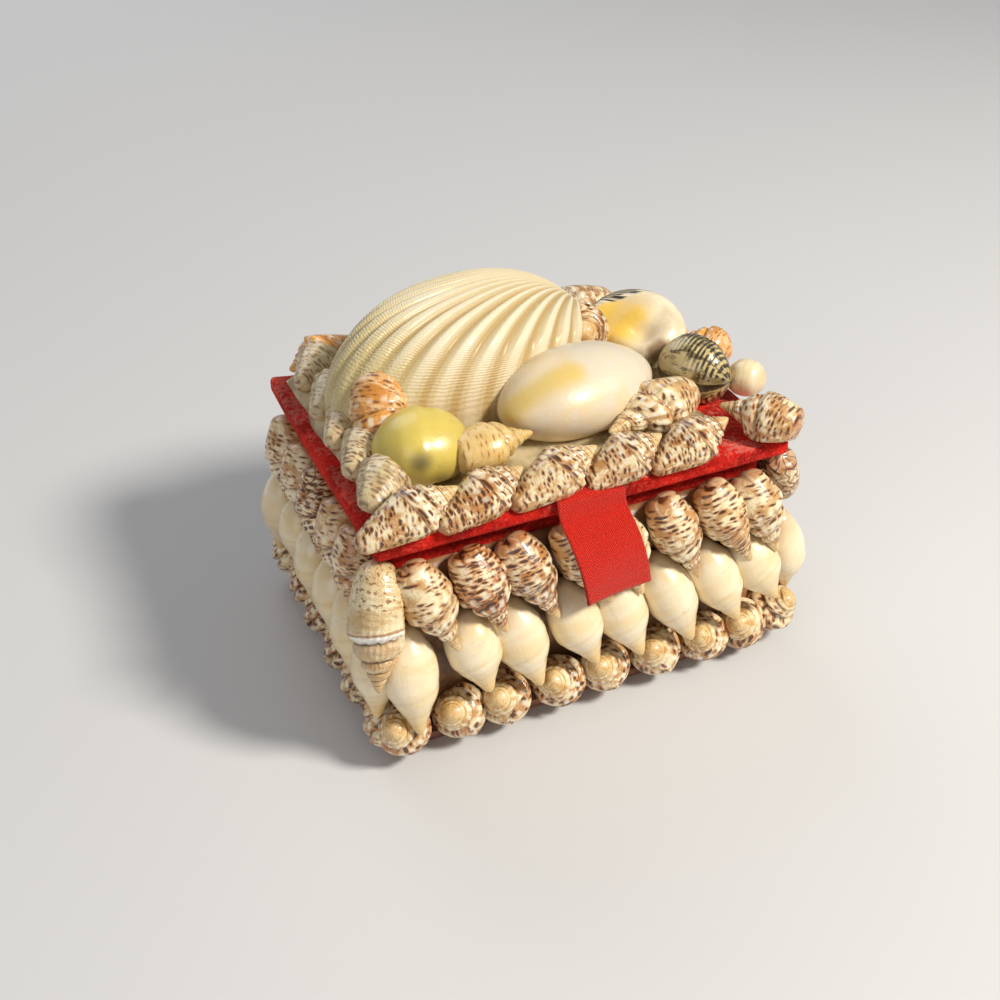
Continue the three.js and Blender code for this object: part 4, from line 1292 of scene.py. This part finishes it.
def set_camera():
    """The photograph's camera."""
    turn, rise, roll = (math.radians(VIEW[key]) for key in ("turn", "rise", "roll"))
    back = Vector((math.sin(turn) * math.cos(rise), -math.cos(turn) * math.cos(rise), math.sin(rise)))
    right = Vector((math.cos(turn), math.sin(turn), 0))
    up = back.cross(right)
    right, up = (right * math.cos(roll) + up * math.sin(roll), up * math.cos(roll) - right * math.sin(roll))
    spot = (right * VIEW["right"] + up * VIEW["up"] + back * VIEW["away"]) * MM
    lens = bpy.data.cameras.new("camera")
    lens.sensor_width = SENSOR
    lens.sensor_fit = "HORIZONTAL"
    lens.lens = SENSOR * VIEW["focal"] / PICTURE
    lens.clip_start = 0.01
    camera = bpy.data.objects.new("camera", lens)
    turned = Matrix((right, up, back)).transposed().to_4x4()
    camera.matrix_world = Matrix.Translation(spot) @ turned
    bpy.context.scene.collection.objects.link(camera)
    bpy.context.scene.camera = camera


# Soft lights that face the box: place and size in metres, power in watts, and colour
LIGHTS = {
    "key": ((0.42, -0.5, 0.68), 0.2, 9.6, (1.0, 0.94, 0.84)),
    "fill": ((-0.7, -0.5, 0.5), 0.7, 1.5, (1.0, 0.97, 0.92)),
    "back": ((-0.1, 0.8, 0.6), 0.8, 2.5, (1.0, 1.0, 1.0)),
}
ROOM_COLOUR = (0.95, 0.96, 1.0, 1)
ROOM_LIGHT = 0.24
FLOOR_SIZE = 6


def add_light(name, spot, size, power, lamp_colour):
    """Round soft light that faces the box."""
    lamp = bpy.data.lights.new(name, "AREA")
    lamp.shape = "DISK"
    lamp.size = size
    lamp.energy = power
    lamp.color = lamp_colour
    light = bpy.data.objects.new(name, lamp)
    light.location = spot
    light.rotation_euler = (-Vector(spot)).to_track_quat("-Z", "Y").to_euler()
    bpy.context.scene.collection.objects.link(light)


def set_stage():
    """Pale floor, lights and a dim room."""
    deselect()
    bpy.ops.mesh.primitive_plane_add(size=FLOOR_SIZE, location=(0, 0, 0))
    floor = active("floor")
    f = Finish("pale_floor", Specular_IOR_Level=0.2)
    cloud = f.noise(f.spot(), 3.0, 2.0)
    f.set(Base_Color=f.mix(cloud, shade("floor", 0.96), shade("floor")), Roughness=0.75 + cloud * 0.1)
    floor.data.materials.append(f.material)
    for name, light in LIGHTS.items():
        add_light(name, *light)
    world = bpy.data.worlds.new("soft_room")
    world.use_nodes = True
    room = world.node_tree.nodes["Background"]
    room.inputs["Color"].default_value = ROOM_COLOUR
    room.inputs["Strength"].default_value = ROOM_LIGHT
    bpy.context.scene.world = world
    bpy.context.scene.view_settings.view_transform = "Standard"


def lump(x, y, seed):
    """Soft uneven swell from 0 to 1, for poured glue."""
    total = 0.5
    for k, share in enumerate((0.24, 0.15, 0.09)):
        turn = 1.9 * k + seed
        reach = 5.5 / (k + 1)
        total = total + share * np.sin((x * math.cos(turn) + y * math.sin(turn)) / reach + seed * 3.1)
        across = (y * math.cos(turn) - x * math.sin(turn)) / reach
        total = total + share * np.sin(across * 1.3 + seed * 1.7 + k)
    return np.clip(total, 0, 1)


def build_lid_glue(finish):
    """Bed of milky glue that the lid's shells sink into, thickest along the left side."""
    columns, rows = 150, 108
    half_x, half_y = BOX_WIDTH / 2 - 2.6, BOX_DEPTH / 2 - 2.2
    deselect()
    bpy.ops.mesh.primitive_grid_add(x_subdivisions=columns, y_subdivisions=rows, size=2)
    bed = active("lid_glue")
    mesh = bed.data
    spots = corners(mesh)
    x, y = spots[:, 0] * half_x, spots[:, 1] * half_y
    edge = np.minimum(half_x - np.abs(x), half_y - np.abs(y))
    ragged = 1.6 * lump(x, y, 2.0) + 8.5 * eased(x, 26, 40) * eased(-y, -6, 18) + 1.5 * eased(-y, 18, 32)
    shore = eased(edge, ragged - 0.4, ragged + 3.5)
    left = eased(-x, 30, 44)
    calm = 1 - 0.75 * eased(-y, 14, 24) * (1 - left)
    height = shore * (0.7 + sizes().glue_depth / MM * lump(x * 0.8, y * 0.8, 1.0) * calm + 2.6 * left) - 0.35
    move_corners(mesh, np.stack([x, y, LID_TOP + lid_lift(x, y) + height], axis=1) * MM)
    finish_mesh(mesh)
    thicken(bed, 0.3, -1)
    return settle(bed, finish, "white_shell")


# Height of the middle of a wall's bed of glue and painted shade, and half of its height
WALL_GLUE_UP = 26.0
WALL_GLUE_HALF = 22.5


def build_wall_glue_and_shade(name, wall, seed, finish):
    """Amber glue and dust that fill the wall behind its rows of shells, dark also as painted shade between
    them.
    """
    columns, rows = 80, 44
    deselect()
    bpy.ops.mesh.primitive_grid_add(x_subdivisions=columns, y_subdivisions=rows, size=2)
    bed = active(name)
    mesh = bed.data
    spots = corners(mesh)
    half = (TRAY_HALF_X if wall["along"].x else TRAY_HALF_Y) + 1.1
    along, up = spots[:, 0] * half, WALL_GLUE_UP + spots[:, 1] * WALL_GLUE_HALF
    edge = np.minimum(half - np.abs(along), WALL_GLUE_HALF - np.abs(up - WALL_GLUE_UP))
    out = 0.3 + eased(edge, 0, 3) * (1.6 + 2.6 * lump(along * 1.3, up * 1.3, seed))
    off = TRAY_HALF_Y if wall["along"].x else TRAY_HALF_X
    axis = np.array(wall["along"])
    normal = np.array(wall["out"])
    flat = along[:, None] * axis + (off + out)[:, None] * normal + up[:, None] * np.array([0, 0, 1.0])
    move_corners(mesh, flat * MM)
    if np.cross(axis, (0, 0, 1.0)) @ normal < 0:
        bpy.ops.object.mode_set(mode="EDIT")
        bpy.ops.mesh.select_all(action="SELECT")
        bpy.ops.mesh.flip_normals()
        bpy.ops.object.mode_set(mode="OBJECT")
    finish_mesh(mesh)
    thicken(bed, 0.2, -1)
    return settle(bed, finish, "white_shell")


def forget_blanks():
    """Removes the plain balls that the shells were made from."""
    for blank, *_ in BLANKS.values():
        bpy.data.meshes.remove(blank)
    BLANKS.clear()


# Operators

class SHELLBOX_OT_stage(bpy.types.Operator):
    """Sets the camera, the pale floor and the soft lights"""
    bl_idname = "shell_box.stage"
    bl_label = "Camera, floor and lights"

    def execute(self, context):
        set_camera()
        set_stage()
        return {"FINISHED"}


class SHELLBOX_OT_boards(bpy.types.Operator):
    """Covers the tray and the base, and builds the lid board"""
    bl_idname = "shell_box.boards"
    bl_label = "Tray, base and lid board"

    def execute(self, context):
        for name, finish in (("velvet_tray", "velvet"), ("base_board", "bare_card")):
            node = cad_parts[name]
            node.data.materials.clear()
            node.data.materials.append(finish_of(finish))
        build_lid_board(finish_of("velvet"))
        return {"FINISHED"}


class SHELLBOX_OT_ribbon(bpy.types.Operator):
    """Builds the folded satin ribbon pull"""
    bl_idname = "shell_box.ribbon"
    bl_label = "Ribbon pull"

    def execute(self, context):
        build_ribbon(finish_of("satin"))
        return {"FINISHED"}


class SHELLBOX_OT_glue(bpy.types.Operator):
    """Pours the amber glue, dark also as painted shade, on the walls and the milky glue on the lid"""
    bl_idname = "shell_box.glue"
    bl_label = "Glue"

    def execute(self, context):
        for k, (name, wall) in enumerate(WALLS.items()):
            build_wall_glue_and_shade(f"{name}_wall_glue", wall, 1.0 + k, finish_of("amber_glue"))
        build_lid_glue(finish_of("milky_glue"))
        return {"FINISHED"}


class SHELLBOX_OT_wall_shells(bpy.types.Operator):
    """Lays the three rows of shells on every wall"""
    bl_idname = "shell_box.wall_shells"
    bl_label = "Wall shells"

    def execute(self, context):
        for wall_name in WALLS:
            for row_name in ROWS:
                dress_row(wall_name, row_name)
        return {"FINISHED"}


class SHELLBOX_OT_rim_shells(bpy.types.Operator):
    """Lays the ring of shells round the lid's margin"""
    bl_idname = "shell_box.rim_shells"
    bl_label = "Rim shells"

    def execute(self, context):
        for name, form, spot, size, heading, looks, slot in ring_shells():
            finish = finish_of("drowned_shell" if name.startswith("left") else slot)
            rise = sizes().rim_rise / MM if name.startswith("front") else 0
            lay_on_lid(name, form, spot, size, heading, rise, 0, looks, finish, slot)
        return {"FINISHED"}


class SHELLBOX_OT_lid_shells(bpy.types.Operator):
    """Lays the single shells inside the ring"""
    bl_idname = "shell_box.lid_shells"
    bl_label = "Lid shells"

    def execute(self, context):
        for name, (form, spot, size, heading, rise, roll, looks, slot) in CENTRE_SHELLS.items():
            finish = finish_of(CENTRE_FINISHES.get(name, slot))
            lay_on_lid(name, form, spot, size, heading, rise, roll, looks, finish, slot,
                       bend=gape if name == "gaping_nerite" else None)
        return {"FINISHED"}


class SHELLBOX_OT_ark_shell(bpy.types.Operator):
    """Builds the big ribbed ark shell"""
    bl_idname = "shell_box.ark_shell"
    bl_label = "Ark shell"

    def execute(self, context):
        build_ark(finish_of("ark_shell"))
        return {"FINISHED"}


OPERATORS = (SHELLBOX_OT_stage, SHELLBOX_OT_boards, SHELLBOX_OT_ribbon, SHELLBOX_OT_glue,
             SHELLBOX_OT_wall_shells, SHELLBOX_OT_rim_shells, SHELLBOX_OT_lid_shells, SHELLBOX_OT_ark_shell)


class SHELLBOX_PT_panel(bpy.types.Panel):
    """Sizes, colours and pieces of the shell box"""
    bl_idname = "SHELLBOX_PT_panel"
    bl_label = "Shell box"
    bl_space_type = "VIEW_3D"
    bl_region_type = "UI"
    bl_category = "Shell box"

    def draw(self, context):
        for group in (context.scene.shell_box_sizes, context.scene.shell_box_colours):
            column = self.layout.column()
            for name in group.__annotations__:
                column.prop(group, name)
        column = self.layout.column()
        for operator in OPERATORS:
            column.operator(operator.bl_idname)


CLASSES = (ShellBoxSizes, ShellBoxColours, *OPERATORS, SHELLBOX_PT_panel)


def register():
    for each in CLASSES:
        bpy.utils.register_class(each)
    bpy.types.Scene.shell_box_sizes = bpy.props.PointerProperty(type=ShellBoxSizes)
    bpy.types.Scene.shell_box_colours = bpy.props.PointerProperty(type=ShellBoxColours)


def unregister():
    del bpy.types.Scene.shell_box_sizes
    del bpy.types.Scene.shell_box_colours
    for each in reversed(CLASSES):
        bpy.utils.unregister_class(each)


def main():
    register()
    bpy.ops.shell_box.stage()
    bpy.ops.shell_box.boards()
    bpy.ops.shell_box.ribbon()
    bpy.ops.shell_box.glue()
    bpy.ops.shell_box.wall_shells()
    bpy.ops.shell_box.rim_shells()
    bpy.ops.shell_box.lid_shells()
    bpy.ops.shell_box.ark_shell()
    forget_blanks()


if __name__ == "__main__":
    main()
